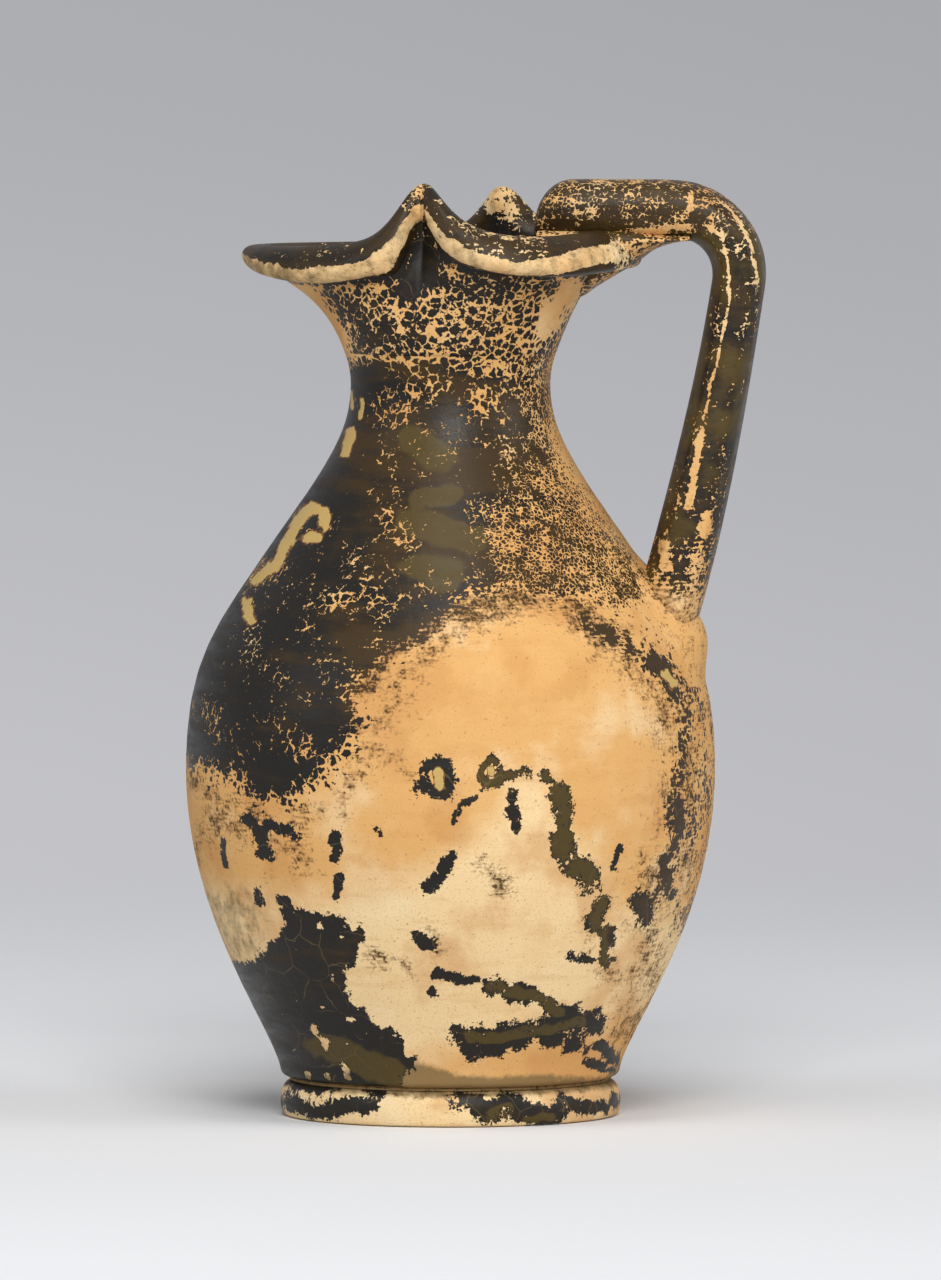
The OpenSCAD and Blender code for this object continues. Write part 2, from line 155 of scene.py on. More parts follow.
# %% Parts of an outline
def radius_at(profile, z):
    """Radius of an outline at height z, between its nearest points."""
    return np.interp(z, profile[:, 1], profile[:, 0])


def evenly(line, step=1.0, count=None, closed=False):
    """Points at even distances along a line, about one step apart or so many, straight between its own."""
    run = np.concatenate([[0.0], np.cumsum(np.linalg.norm(np.diff(line, axis=0), axis=1))])
    at = np.linspace(0.0, run[-1], count or max(2, int(run[-1] / step)), endpoint=not closed)
    return np.stack([np.interp(at, run, line[:, i]) for i in (0, 1)], axis=1)


def stretch(profile, low, high, step):
    """The part of an outline between two heights, with points about one step apart along it."""
    z = np.concatenate([[low], profile[(profile[:, 1] > low) & (profile[:, 1] < high), 1], [high]])
    return evenly(np.stack([radius_at(profile, z), z], axis=1), step)


print("radius at the join line:", round(float(radius_at(outer_wall, JOIN_Z)), 1), "mm")

# %% [markdown]
# Hand-made clay is never quite even. A sum of a few slow waves round and up the wall gives the small
# unevenness that a highlight shows, and faint level ridges where the fingers drew the clay up.
# It only ever takes clay away, so the jug keeps its size.

# %% Unevenness of the hand
SLOW_DEPTH, RIDGE_DEPTH = 0.16, 0.035


def unevenness(angle, z):
    """Millimetres that the surface lies below its true outline.

    It is the slow depth times (1 + the mean of three waves round and up), plus the ridges' depth
    times (1 + a fine level wave that is stronger on one side).
    """
    slow = np.sin(2 * angle + 0.03 * z) + np.sin(3 * angle - 0.05 * z + 1.3)
    slow = (slow + np.sin(5 * angle + 0.09 * z + 0.4)) / 3
    ridges = np.sin(0.9 * z + 0.6 * np.sin(0.21 * z)) * (0.6 + 0.4 * np.sin(angle + 0.1 * z))
    return SLOW_DEPTH * (1 + slow) + RIDGE_DEPTH * (1 + ridges)


print("deepest hollow:", round(2 * (SLOW_DEPTH + RIDGE_DEPTH), 2), "mm")

# %% [markdown]
# The photograph shows one side, so the worn places are laid out as the eye meets them: on an upright
# plane through the jug's middle, in millimetres across from its axis and up from its foot.
# The hidden side takes the same broad zones, but they are pushed about there, so that it is no copy.

# %% Where a point shows from the eye's place
EYE_AZIMUTH, EYE_DISTANCE, EYE_HEIGHT = np.radians(6.0), 5000.0, 415.5
EYE_RIGHT = np.array([np.cos(EYE_AZIMUTH), np.sin(EYE_AZIMUTH), 0.0])
EYE_AWAY = np.array([-np.sin(EYE_AZIMUTH), np.cos(EYE_AZIMUTH), 0.0])
SIDE_BAND, HIDDEN_BAND, HIDDEN_PUSH = 12.0, 25.0, 13.0


def wander(points, size, seed):
    """Smooth random numbers from -1 to 1 that change over about the given size.

    Random values stand on a lattice, and each point blends the eight round it by t or 1 - t each way.
    """
    lattice = np.random.default_rng(seed).uniform(-1, 1, (32, 32, 32))
    base = np.floor(points / size)
    t = points / size - base
    t = t * t * (3 - 2 * t)
    total = np.zeros(len(points))
    for corner in np.ndindex(2, 2, 2):
        i = (base.astype(int) + corner) % 32
        weight = np.prod(np.where(np.array(corner) == 1, t, 1 - t), axis=1)
        total += weight * lattice[i[:, 0], i[:, 1], i[:, 2]]
    return total


def seen(points, unsteady=1.0):
    """Across, up and side for each point, as the eye meets it.

    The offset from the eye's line is scaled by the eye's distance over that distance less the depth. It is
    then pushed about a little, so that no mark is straight, and more on the hidden side.
    The side is 1 in front of the jug's middle and 0 behind it.
    """
    depth = points @ EYE_AWAY
    scale = EYE_DISTANCE / (EYE_DISTANCE - np.abs(depth))
    side = np.clip(0.5 - depth / SIDE_BAND, 0.0, 1.0)
    hidden = np.clip(depth / HIDDEN_BAND, 0.0, 1.0)
    push = []
    for seed in (11, 14):
        small = wander(points, 6.5, seed) + 0.7 * wander(points, 2.4, seed + 1)
        push.append(unsteady * small + HIDDEN_PUSH * hidden * wander(points, 24.0, seed + 2))
    across = points @ EYE_RIGHT * scale + push[0]
    up = EYE_HEIGHT + (points[:, 2] - EYE_HEIGHT) * scale + push[1]
    return across, up, side


print("the eye stands", EYE_DISTANCE * MM, "m off at", round(float(np.degrees(EYE_AZIMUTH))), "degrees")

# %% [markdown]
# Three small tools draw the wear: a soft step, a soft zone inside an outline, and a soft stroke along a path.
# Soft edges matter, because each finish adds its own roughness to them and then cuts them sharp.

# %% Steps, zones and strokes
def ease(value, low, high):
    """0 before low, 1 after high, and between them 3t^2 - 2t^3 of the way t."""
    t = np.clip((value - low) / (high - low), 0.0, 1.0)
    return t * t * (3 - 2 * t)


def path_distance(x, y, path):
    """Shortest distance to a path of straight stretches.

    For each stretch, t is how far along it the nearest point lies, kept between its ends at 0 and 1.
    """
    best = np.full(x.shape, 1e9)
    for (ax, ay), (bx, by) in zip(path[:-1], path[1:]):
        dx, dy = bx - ax, by - ay
        t = np.clip(((x - ax) * dx + (y - ay) * dy) / (dx * dx + dy * dy + 1e-12), 0.0, 1.0)
        best = np.minimum(best, np.hypot(x - ax - t * dx, y - ay - t * dy))
    return best


def zone(x, y, corners, soft):
    """1 inside an outline and 0 outside it: 0.5 plus the distance inside it over twice the softness.

    A point is inside when a level line from it crosses the outline an odd number of times.
    """
    inside = np.zeros(x.shape, bool)
    for (ax, ay), (bx, by) in zip(corners, corners[1:] + corners[:1]):
        crosses = (ay > y) != (by > y)
        inside ^= crosses & (x < (bx - ax) * (y - ay) / (by - ay + 1e-12) + ax)
    far = path_distance(x, y, corners + corners[:1])
    return np.clip(0.5 + np.where(inside, far, -far) / (2 * soft), 0.0, 1.0)


def stroke(x, y, path, half_width):
    """1 along a path, 0.5 at its half width and 0 at twice that: 1 less the distance over two half widths."""
    return np.clip(1 - path_distance(x, y, path) / (2 * half_width), 0.0, 1.0)


def strokes(x, y, marks):
    """The strongest of several strokes, each given as its path and half width."""
    return np.maximum.reduce([stroke(x, y, path, half_width) for path, half_width in marks])


print("a soft step from 0 to 1:", ease(np.linspace(0.0, 1.0, 5), 0.0, 1.0).round(2))

# %% [markdown]
# The finish is steered by a few numbers at every point of a surface:
# cover is how much gloss is left (above 0.85 it is whole, about 0.7 it is crackled, below 0.4 it is gone),
# mark is gloss that stays in single strokes and patches, fine is how small the crackle is,
# cream is how pale the clay is, smoke is the brown specks of thin gloss, the dirt and shade number is brown
# dirt on bare clay and painted shade at the belly's left edge, sepia is where the gloss fired brown, olive is
# where it fired greenish, and flake is pale crust on it.
# Each is painted with zones and strokes in real sizes, as a restorer would map the wear.

# %% Broad zones of the wear
GLOSS_ZONE = [(-30, 192), (30, 192), (29, 168), (38, 153), (51, 137), (58, 127), (40, 123), (27, 125.5),
              (17, 127.5), (7, 126), (1, 122.5), (-8, 116.5), (-15, 110.5), (-22, 105), (-20, 98), (-24, 88),
              (-31, 80.5), (-40, 76.5), (-47, 75), (-54, 80.5), (-72, 88), (-75, 103), (-70, 118), (-58, 135),
              (-43, 155), (-32, 170)]
FOOT_PATCH = [(-60, 36), (-47, 39.5), (-42, 46), (-40, 52), (-30, 49.5), (-22.5, 47), (-22, 41), (-26, 35),
              (-24.5, 28.5), (-19, 23.5), (-11, 19.5), (-8.8, 13.5), (-12, 5), (-50, 5), (-54, 20), (-57, 28)]
CREAM_ZONE = [(-80, 57), (-45, 55), (-18, 54), (-3, 62), (10, 74), (22, 82), (30, 70), (42, 53), (80, 46),
              (62, 31), (34, 21), (8, 18), (-8, 14), (-30, -9), (-80, -9)]
FINE_ZONE = [(14, 196), (32, 200), (68, 123), (20, 126), (4, 132), (2, 146), (10, 158), (14, 168), (18, 180)]
RIM_ZONE = [(-42, 216), (50, 222), (38, 203), (30, 190), (25, 178), (12, 184), (-5, 188.5), (-40, 188.5)]
NECK_MIDDLE = [(-20, 190), (26, 190), (34, 150), (44, 126), (10, 124), (-6, 140), (-24, 160)]
RIGHT_SPECKS = [(40, 126), (72, 128), (75, 50), (50, 38), (54, 88), (49, 108)]
# Painted shade: the belly's left edge, darkened in the dirt colour where it turns from the light.
LEFT_PAINTED_SHADE = [(-80, 60), (-46, 57), (-44, 40), (-58, 30), (-80, 30)]
print("corners of the gloss zone:", len(GLOSS_ZONE))

# %% [markdown]
# On the bare clay the gloss holds on in single marks. Each is a path in millimetres with its half width.
# The two small rings near the middle and the broken band to their right are the ones the eye finds first.

# %% Marks that stay on the clay
BLACK_MARKS = [
    ([(-6.3, 85.6), (-4.6, 87.3), (-1.4, 86.5), (-0.1, 83.6), (-1.6, 80.1), (-4.6, 80.6), (-6.8, 82.6),
      (-6.3, 85.6)], 1.8),
    ([(7.3, 86.8), (9.3, 88.5), (11.8, 87.5), (12.3, 85.1), (10.6, 82.6), (8.1, 83.1), (6.8, 85.1),
      (7.3, 86.8)], 1),
    ([(12.3, 84.3), (17.8, 86.1), (23.5, 84.3)], 1.6),
    ([(23.5, 84.3), (27.7, 79.8), (28.7, 74.4), (27.7, 68.1)], 2.2),
    ([(27.9, 69.5), (30.2, 62.9), (34.2, 59.2)], 2.8),
    ([(37.2, 52.5), (36.4, 47)], 2.4),
    ([(38.7, 44.5), (38.2, 38.3)], 2),
    ([(6.8, 81.1), (3.6, 78.3), (1.6, 74.4), (1.4, 71.9)], 0.75),
    ([(14.8, 80.1), (15.5, 78.1)], 1.4),
    ([(15.3, 75.6), (15.8, 71.6)], 1.4),
    ([(-5.8, 56.7), (-3.1, 59.2), (-0.9, 63.2)], 1.8),
    ([(-8.1, 44.3), (-5.1, 41.8)], 1.8),
    ([(-4.6, 30.8), (-4.6, 29.8)], 1.1),
    ([(-4.1, 35.3), (1.1, 34.3), (6.6, 33.1)], 1.2),
    ([(9.8, 31.8), (17.3, 30.8), (24.7, 27.4), (31.7, 24.9)], 2.1),
    ([(2.9, 19.4), (12.3, 19.4), (22.3, 20.9), (35.2, 23.4)], 2.9),
    ([(4.4, 15.9), (11.8, 16.9)], 1.8),
    ([(23.5, 19.4), (31, 16.9)], 2.4),
    ([(-50.4, 73.1), (-46.9, 70.1), (-46.4, 65.2)], 2.0),
    ([(-45.4, 71.1), (-39.4, 70.6)], 1.9),
    ([(-29.2, 69.1), (-29.2, 64.2)], 1.4),
    ([(-28.2, 59.2), (-28.2, 53.7)], 1.2),
    ([(-41.7, 53.7), (-40.9, 49.2)], 1.5),
    ([(47.1, 53.7), (47.6, 49.2)], 2.5),
    ([(50.8, 113.2), (53.0, 111.0), (55.2, 107.0)], 2.3),
    ([(55.5, 76), (56.8, 70)], 1.6),
    ([(53, 63.5), (54.5, 55)], 1.2),
    ([(41.8, 66), (41.2, 61)], 0.9),
    ([(30.5, 39.2), (35.5, 37.8)], 1.0),
    ([(-57, 69), (-56, 62)], 0.8),
    ([(-47.6, 56), (-46.6, 52.5)], 0.9),
    ([(-18, 71), (-17.2, 69.5)], 0.9),
    ([(36, 17.5), (41, 13.5)], 1.8),
    ([(33, 12.8), (40, 10.8)], 1.0),
]
print("marks on the clay:", len(BLACK_MARKS))

# %% [markdown]
# Inside the whole gloss there are crackled places, and at its edge it thins to brown smoke before it ends.
# These strokes are broad, so they only shift the numbers a little, and the noise in the finish does the rest.

# %% Crackled, smoked and browned places
CRACKED = [
    ([(-17, 152), (-12, 144)], 4.0),
    ([(-29, 143), (-18, 133)], 4.5),
    ([(-47, 134), (-36, 130), (-24, 127)], 4.5),
    ([(-34, 121), (-28, 111)], 5.0),
    ([(-49, 116), (-37, 106)], 5.5),
    ([(-62, 100), (-56, 94)], 3.5),
    ([(-44, 98), (-35, 90)], 4.5),
    ([(-7, 184), (-4, 181)], 3.5),
    ([(6, 178), (12, 170), (14, 162)], 3.0),
    ([(-22, 118), (-14, 126), (-4, 131)], 3.5),
]
SMOKED = [
    ([(-65, 84), (-53, 76), (-43, 71), (-30, 76), (-21, 88), (-16, 105), (-7, 114), (5, 124), (22, 127),
      (37, 119), (50, 110)], 5.0),
    ([(-17, 118), (-27, 103)], 5.5),
    ([(36, 121), (47, 115), (55, 107), (62, 99)], 5.0),
    ([(55, 95), (56, 60)], 5.0),
]
FRINGE = [([(-23, 105), (-15, 114.5), (-5, 121.5), (6, 127), (18, 129), (30, 126.5), (42, 119)], 3.4)]
BROWNED = [
    ([(-12, 186), (16, 176)], 5.0),
    ([(-14, 166), (18, 160)], 11.0),
    ([(-10, 142), (30, 134)], 10.0),
    ([(-24, 120), (-14, 108)], 6.0),
    ([(34, 123), (47, 115), (60, 100), (57, 78), (56, 60), (50, 54)], 7.0),
    ([(37, 54), (38, 38)], 4.0),
]
SPECKLED = [
    ([(-66, 62), (-58, 74), (-44, 68), (-36, 62)], 5.0),
    ([(-26, 100), (-20, 92), (-24, 84)], 5.0),
    ([(-16, 112), (-12, 100)], 4.0),
    ([(-14, 88), (-8, 84)], 3.0),
    ([(29, 124), (39, 113.5)], 0.8),
    ([(33, 126), (44, 115)], 0.8),
    ([(8, 133), (18, 131.5), (27, 127.5)], 1.2),
    ([(40, 118), (50, 106), (58, 92), (58, 70), (56, 50)], 8.0),
    ([(50, 60), (48, 40), (52, 28), (44, 20)], 8.0),
    ([(34, 46), (40, 36)], 5.0),
    ([(8, 62), (14, 56)], 3.0),
    ([(-6, 46), (-2, 40)], 3.0),
    ([(-20, 40), (-10, 36)], 3.0),
]
RIGHT_STREAKS = [
    ([(34, 123), (43, 118), (52, 110), (60, 100)], 4.2, 0.82),
    ([(60, 103), (57.5, 90), (56, 78), (55, 62), (50, 54)], 2.8, 0.83),
]
print("smoked and speckled strokes:", len(SMOKED) + len(SPECKLED))

# %% [markdown]
# In some places the gloss fired olive, where the kiln's air turned before the slip had closed.
# In others a thick drop of it has lifted off and left a pale crust. The largest is hooked and lies on
# the left shoulder.

# %% Olive places and pale crusts
OLIVE = [
    ([(-10.1, 147.2), (-2.6, 145.2), (6.1, 142.8)], 3.0),
    ([(-8.8, 136.5), (-0.1, 134)], 3.6),
    ([(-7.6, 152.7), (-0.1, 153.9)], 2.2),
    ([(-8.8, 167.6), (-2.6, 163.9)], 3.8),
    ([(7, 85), (12, 85), (18, 86), (24, 84), (28, 79), (29, 74), (28, 68), (31, 61), (35, 57)], 4.0),
    ([(10, 31.5), (20, 29.5), (27, 26)], 1.6),
    ([(5, 19.5), (12, 19.4), (22, 20.9), (33, 23)], 1.4),
    ([(37, 53), (37, 46), (38, 38)], 2.0),
    ([(-31, 17.5), (-22, 13), (-14, 10.5)], 3.4),
]
FLAKED = [
    ([(-48.5, 133.5), (-43.5, 137), (-41.5, 141), (-38, 148), (-34.5, 151.5), (-31.5, 150),
      (-31.5, 147)], 1.5),
    ([(-36, 143.2), (-33.5, 143.8)], 1.5),
    ([(-50.6, 127.8), (-50.1, 123.4)], 1.3),
    ([(-24.5, 170.1), (-26, 164.6)], 1.1),
    ([(-24.5, 180), (-24.3, 176)], 0.45),
    ([(-22.2, 178), (-22.5, 173.5)], 0.5),
    ([(53.1, 109.9), (55.6, 107.4)], 1.2),
    ([(-2.9, 85), (-2.9, 82)], 1.3),
    ([(9.6, 86), (9.8, 84.8)], 0.8),
]
print("olive strokes:", len(OLIVE), "crusts:", len(FLAKED))

# %% [markdown]
# Zones and strokes come together in one array for each number. Cover comes first, because it decides where
# the gloss ends: the crackled places are taken off the whole, and what stands by itself is laid over that.

# %% Gloss that is left on the wall
WEAR_NAMES = ("cover", "mark", "fine", "cream", "smoke", "film", "sepia", "olive", "flake")
WHOLE, BARE, FINE_LEFT, RIM_LEFT = 0.93, 0.14, 0.737, 0.728


def wear_numbers(count, **given):
    """The wear for so many points: 0 plus what is given, where one number stands for all the points."""
    return {name: np.zeros(count) + given.get(name, 0.0) for name in WEAR_NAMES}


def wall_cover(points, x, y, fine):
    """How much gloss is left on the thrown wall.

    It is the whole less the crackled places, blended by each zone's share into the fine crackle and the
    rim's, then down to bare clay outside the gloss. Specks and streaks on the right stand above that.
    """
    cover = WHOLE - 0.13 * strokes(x, y, CRACKED) - 0.06 * zone(x, y, NECK_MIDDLE, 8.0)
    cover = cover + 0.05 * wander(points, 11.0, 21)
    rim = zone(x, y, RIM_ZONE, 4.0) * (y > 178)
    cover = cover * (1 - fine) + (FINE_LEFT + 0.035 * wander(points, 7.0, 23)) * fine
    cover = cover * (1 - rim) + (RIM_LEFT + 0.035 * wander(points, 8.0, 25)) * rim
    cover = BARE + (cover - BARE) * np.maximum(zone(x, y, GLOSS_ZONE, 6.5), rim)
    specks = 0.58 + 0.14 * wander(points, 6.0, 27) + 0.14 * wander(points, 15.0, 57)
    cover = np.maximum(cover, specks * zone(x, y, RIGHT_SPECKS, 6.0))
    for path, half_width, left in RIGHT_STREAKS:
        cover = np.maximum(cover, left * stroke(x, y, path, half_width))
    return cover


print("wear numbers:", ", ".join(WEAR_NAMES))

# %% [markdown]
# The other numbers follow the same plan, and where two causes meet, the stronger counts. Dirt rises a little
# way from the groove, painted shade darkens the belly's left edge, the tongue of gloss at the lower left is
# full of holes, and the gloss ends in smoke.

# %% Wear on the thrown wall
def paint_wall(points):
    """Wear on the thrown wall, and painted shade at its left edge: each number is the larger of its zones'
    and its strokes' values.
    """
    x, y, side = seen(points)
    fine = zone(x, y, FINE_ZONE, 8.0)
    cover = wall_cover(points, x, y, fine)
    film_top = 14.5 + 2.5 * wander(points, 9.0, 29) + 5 * np.exp(-((x + 12) / 12) ** 2)
    film = np.clip((film_top - points[:, 2]) / 4.0, 0.0, 1.0)
    # Painted shade on the belly's left edge, laid on in the dirt colour.
    film = np.maximum(film, (0.50 + 0.1 * wander(points, 7.0, 59)) * zone(x, y, LEFT_PAINTED_SHADE, 5.0))
    holes = np.clip(wander(points, 3.0, 51) * 2.6 - 1.0, 0, 1) * ease(x, -46, -34)
    patch = zone(x, y, FOOT_PATCH, 2.0) * (1 - 0.75 * holes)
    uneven_width = 1 + 0.30 * wander(points, 4.0, 49)
    mark = np.maximum(patch, side * strokes(x, y, BLACK_MARKS) * uneven_width)
    fringe = strokes(x, y, FRINGE)
    fine = np.maximum(fine, 0.6 * fringe)
    smoke = (0.72 + 0.22 * wander(points, 6.0, 47)) * strokes(x, y, SMOKED + SPECKLED)
    smoke = np.maximum(smoke, (0.95 + 0.2 * wander(points, 5.0, 61)) * fringe)
    sepia = np.maximum.reduce([strokes(x, y, BROWNED), 0.7 * fine, 1.2 * fringe])
    flake = side * strokes(*seen(points, 0.45)[:2], FLAKED)
    return wear_numbers(len(x), cover=cover, mark=mark, fine=fine, cream=zone(x, y, CREAM_ZONE, 5.0),
                        smoke=smoke, film=film, sepia=sepia, olive=strokes(x, y, OLIVE), flake=flake)


def give_wear(piece, wear):
    """Stores each number of the wear at the piece's points, for its material to read."""
    for name, values in wear.items():
        layer = piece.data.attributes.new(name, "FLOAT", "POINT")
        layer.data.foreach_set("value", np.ascontiguousarray(values, np.float32))


one_point = paint_wall(np.array([[0.0, -BELLY_R, BELLY_Z]]))
print("wear at the belly's middle:", {name: round(float(values[0]), 2) for name, values in one_point.items()})

# %% [markdown]
# The body is a shell: outside and inside walls, a floor with a rounded corner, and a thin level rim at
# the top where the neck goes on. On the wheel it is one pull of clay; here it is one outline turned round.

# %% Turned shells
TURN_STEPS = 384


def turned(name, outline, columns=TURN_STEPS, uneven=None):
    """An outline of radius and height, listed with the clay on its left, carried round the axis.

    An outline that starts on the axis closes in two poles, and one off the axis closes on itself.
    """
    angle = np.linspace(0.0, 2 * np.pi, columns, endpoint=False)
    poles = outline[0, 0] < 1e-6
    rings = outline[1:-1] if poles else outline
    radius = np.repeat(rings[:, :1], columns, axis=1)
    z = np.repeat(rings[:, 1:], columns, axis=1)
    if uneven is not None:
        share = uneven[1:-1] if poles else uneven
        radius = radius - share[:, None] * unevenness(angle[None, :], z)
    points = on_circle(radius, angle, z).reshape(-1, 3)
    if poles:
        points = np.vstack([points, [[0, 0, outline[0, 1]], [0, 0, outline[-1, 1]]]])
        faces = tube_faces(len(rings), columns)
    else:
        faces = grid_quads(len(rings), columns, True, True)
    return mesh_piece(name, points, faces), points


# %% [markdown]
# The belly's outline runs along the underside, up the outside, over the rim, down the inside and back to the
# axis along the floor. The inside is hardly seen, so its rows stand wider apart than the outside's.

# %% The belly's shell
floor_z = BASE_Z + FLOOR_T
fillet_z = floor_z + FLOOR_FILLET
corner_r = radius_at(inner_wall, fillet_z) - FLOOR_FILLET
outside = stretch(outer_wall, BASE_Z + 1.5, JOIN_Z, 1.0)
base_edge = cubic((BASE_R - 1.9, BASE_Z), (BASE_R - 0.8, BASE_Z + 0.05), (BASE_R, BASE_Z + 0.7),
                  outside[0], 7)
outside = np.vstack([base_edge[:-1], outside])
inside = stretch(inner_wall, fillet_z, JOIN_Z, 2.6)[::-1]
corner = np.radians(np.linspace(0, -90, 8)[1:])[:, None]
fillet = np.hstack([corner_r + FLOOR_FILLET * np.cos(corner), fillet_z + FLOOR_FILLET * np.sin(corner)])
underside = np.array([[r, BASE_Z] for r in (0.0, 12.0, 24.0, 33.0, 40.0)])
floor = np.array([[r, floor_z] for r in (24.0, 12.0, 0.0)])
belly_outline = np.vstack([underside, outside, inside, fillet, floor])
first_inside = len(underside) + len(outside)
rub = np.zeros(len(belly_outline))
rub[len(underside):first_inside] = np.clip((JOIN_Z - outside[:, 1]) / 6.0, 0.0, 1.0)
belly, belly_points = turned("belly_wall.skin", belly_outline, uneven=rub)

# %% [markdown]
# The painted wear is for the outside. Within the wall and on the underside the clay is plain, thinly slipped.

# %% Wear on the belly
belly_wear = paint_wall(belly_points)
within_wall = np.arange(len(belly_outline)) >= first_inside
plain_clay = np.concatenate([np.repeat(within_wall[1:-1], TURN_STEPS), [False, True]])
plain_clay = plain_clay | (belly_points[:, 2] < BASE_Z + 0.01)
for name, plain_value in (("cover", 0.2), ("mark", 0.0), ("flake", 0.0), ("smoke", 0.15), ("film", 0.0)):
    belly_wear[name] = np.where(plain_clay, plain_value, belly_wear[name])
give_wear(belly, belly_wear)
print("belly: bare clay on", round(float((belly_wear["cover"] < 0.4).mean()), 2), "of its points")

# %% [markdown]
# The neck is the same wall carried on to where the mouth begins. It was dipped inside too, so its inside
# keeps nearly all of its gloss, out of reach of hands.

# %% The neck's shell
neck_out = stretch(outer_wall, JOIN_Z, MOUTH_Z, 0.7)
neck_in = stretch(inner_wall, JOIN_Z, MOUTH_Z, 1.4)[::-1]
neck_outline = np.vstack([neck_out, neck_in])
neck, neck_points = turned("neck_wall.skin", neck_outline)
neck_wear = paint_wall(neck_points)
neck_inside = np.repeat(np.arange(len(neck_outline)) >= len(neck_out), TURN_STEPS)
neck_wear["cover"] = np.where(neck_inside, 0.9, neck_wear["cover"])
give_wear(neck, neck_wear)

# %% [markdown]
# The foot is a ring turned from a coil of clay and stuck on with slip. Its side swells softly, and its
# edges are rubbed round: each corner of the outline is cut back and bridged by a short curve.

# %% The ring foot
FOOT_R, FOOT_H, FOOT_HOLLOW_R, FOOT_BULGE = 42.3, 8.8, 33.0, 1.2


def rounded(corners, radii, steps=5):
    """An outline with each corner cut back by its own length and bridged by a short curve.

    The curve's two pulls stand 0.55 of the way from its ends to the corner.
    """
    corners = np.asarray(corners, float)
    before, after = np.roll(corners, 1, axis=0), np.roll(corners, -1, axis=0)
    line = []
    for p, q, r, cut in zip(before, corners, after, radii):
        a = q + (p - q) / np.linalg.norm(p - q) * cut
        b = q + (r - q) / np.linalg.norm(r - q) * cut
        line.append(cubic(a, a + (q - a) * 0.55, b + (q - b) * 0.55, b, steps) if cut > 0 else q[None])
    return np.vstack(line)


side_t = np.linspace(0.0, 0.84, 13)[1:]
foot_side = np.stack([FOOT_R - FOOT_BULGE * np.abs(2 * side_t - 0.85) ** 2.2, FOOT_H * side_t], axis=1)
hollow_top_r = FOOT_HOLLOW_R - 2.0
foot_corners = np.vstack([
    [[FOOT_HOLLOW_R + 1.5, 0.0], [FOOT_R - 2.4, 0.0], [FOOT_R - 0.9, 0.35]], foot_side,
    [[FOOT_R - FOOT_BULGE * 1.15 ** 2.2, FOOT_H], [hollow_top_r, FOOT_H], [hollow_top_r, 7.3],
     [FOOT_HOLLOW_R, 1.5]]])
foot_outline = rounded(foot_corners, [0.6, 0.3, 0.2] + [0.0] * len(foot_side) + [1.4, 0.0, 0.5, 0.6])
foot, foot_points = turned("ring_foot.skin", foot_outline, columns=480)

# %% [markdown]
# The foot was not dipped: black ran down to it in a few tongues, and its upper edge is stained brown.

# %% Wear on the foot
FOOT_MARKS = [
    ([(-41, 3), (-34, 1), (-27, 2), (-20, 3)], 2.3),
    ([(-40, 7.5), (-33, 6), (-28, 7.5)], 1.3),
    ([(-24, 8), (-17, 6)], 1.6),
    ([(3, 4), (9, 1), (14, 3), (22, 0), (27, 1.5)], 2.6),
    ([(28, 4), (33, 1.5), (41, 3)], 1.8),
]
RUST = [([(9, -0.5), (14, 1.5)], 1.1), ([(19, -1), (25, 0)], 0.9)]
x, y, _ = seen(foot_points)
z = foot_points[:, 2]
rust = strokes(x, y, RUST)
give_wear(foot, wear_numbers(
    len(x), cover=0.12 + 0.3 * np.clip((z - 5.5) / 4, 0, 1), mark=strokes(x, y, FOOT_MARKS), cream=1.2,
    smoke=np.maximum(rust, 0.3 + 0.35 * np.clip((z - 6) / 3, 0, 1)), sepia=rust, olive=rust,
    film=0.75 * np.clip((z - 6.2) / 2, 0, 1)))
print("marks on the foot:", len(FOOT_MARKS), "rusty ones:", len(RUST))

# %% [markdown]
# A thin line of slip fills the groove between foot and belly. Dirt gathers there, so it is brown all round.

# %% The line of slip over the foot
SEAM_INSIDE_R, SEAM_R = 34.0, 39.6
seam_outline = np.array([[SEAM_INSIDE_R, FOOT_H], [SEAM_R, FOOT_H], [SEAM_R + 0.4, FOOT_H + 0.25],
                         [SEAM_R + 0.3, FOOT_H + 0.75], [SEAM_R, BASE_Z], [SEAM_INSIDE_R, BASE_Z]])
seam, seam_points = turned("foot_luting.skin", seam_outline, columns=360)
give_wear(seam, wear_numbers(len(seam_points), cover=0.3, film=1.0, fine=1.0, cream=0.6, smoke=0.7,
                             sepia=1.0, olive=0.5))

# %% [markdown]
# The mouth starts as a round flared funnel with a rolled lip. While the clay is soft, two fingers push its
# sides in, which makes a spout in front, two round lobes behind and a peak at each pinch.
# So the shape is the funnel's outline, with a reach and a height that change with the angle round it.

# %% The mouth's plan
SPOUT, NEAR_PINCH, FAR_PINCH = 162.0, -100.0, 64.0
SPOUT_REACH, BACK_REACH, FLANK_REACH = 54.2, 47.5, 34.0
FOLD_DEPTH, FOLD_WIDTH, FOLD_ROUND, BACK_SPAN = 6.0, 9.0, 2.5, 60.0
LIP_HALF_W = 6.2


def turn(a):
    """An angle in degrees brought to between -180 and 180, by taking off its nearest whole turns."""
    return a - 360 * np.round(a / 360)


def pinch_gap(a):
    """Degrees from an angle to the nearer pinch."""
    return np.minimum(np.abs(turn(a - NEAR_PINCH)), np.abs(turn(a - FAR_PINCH)))


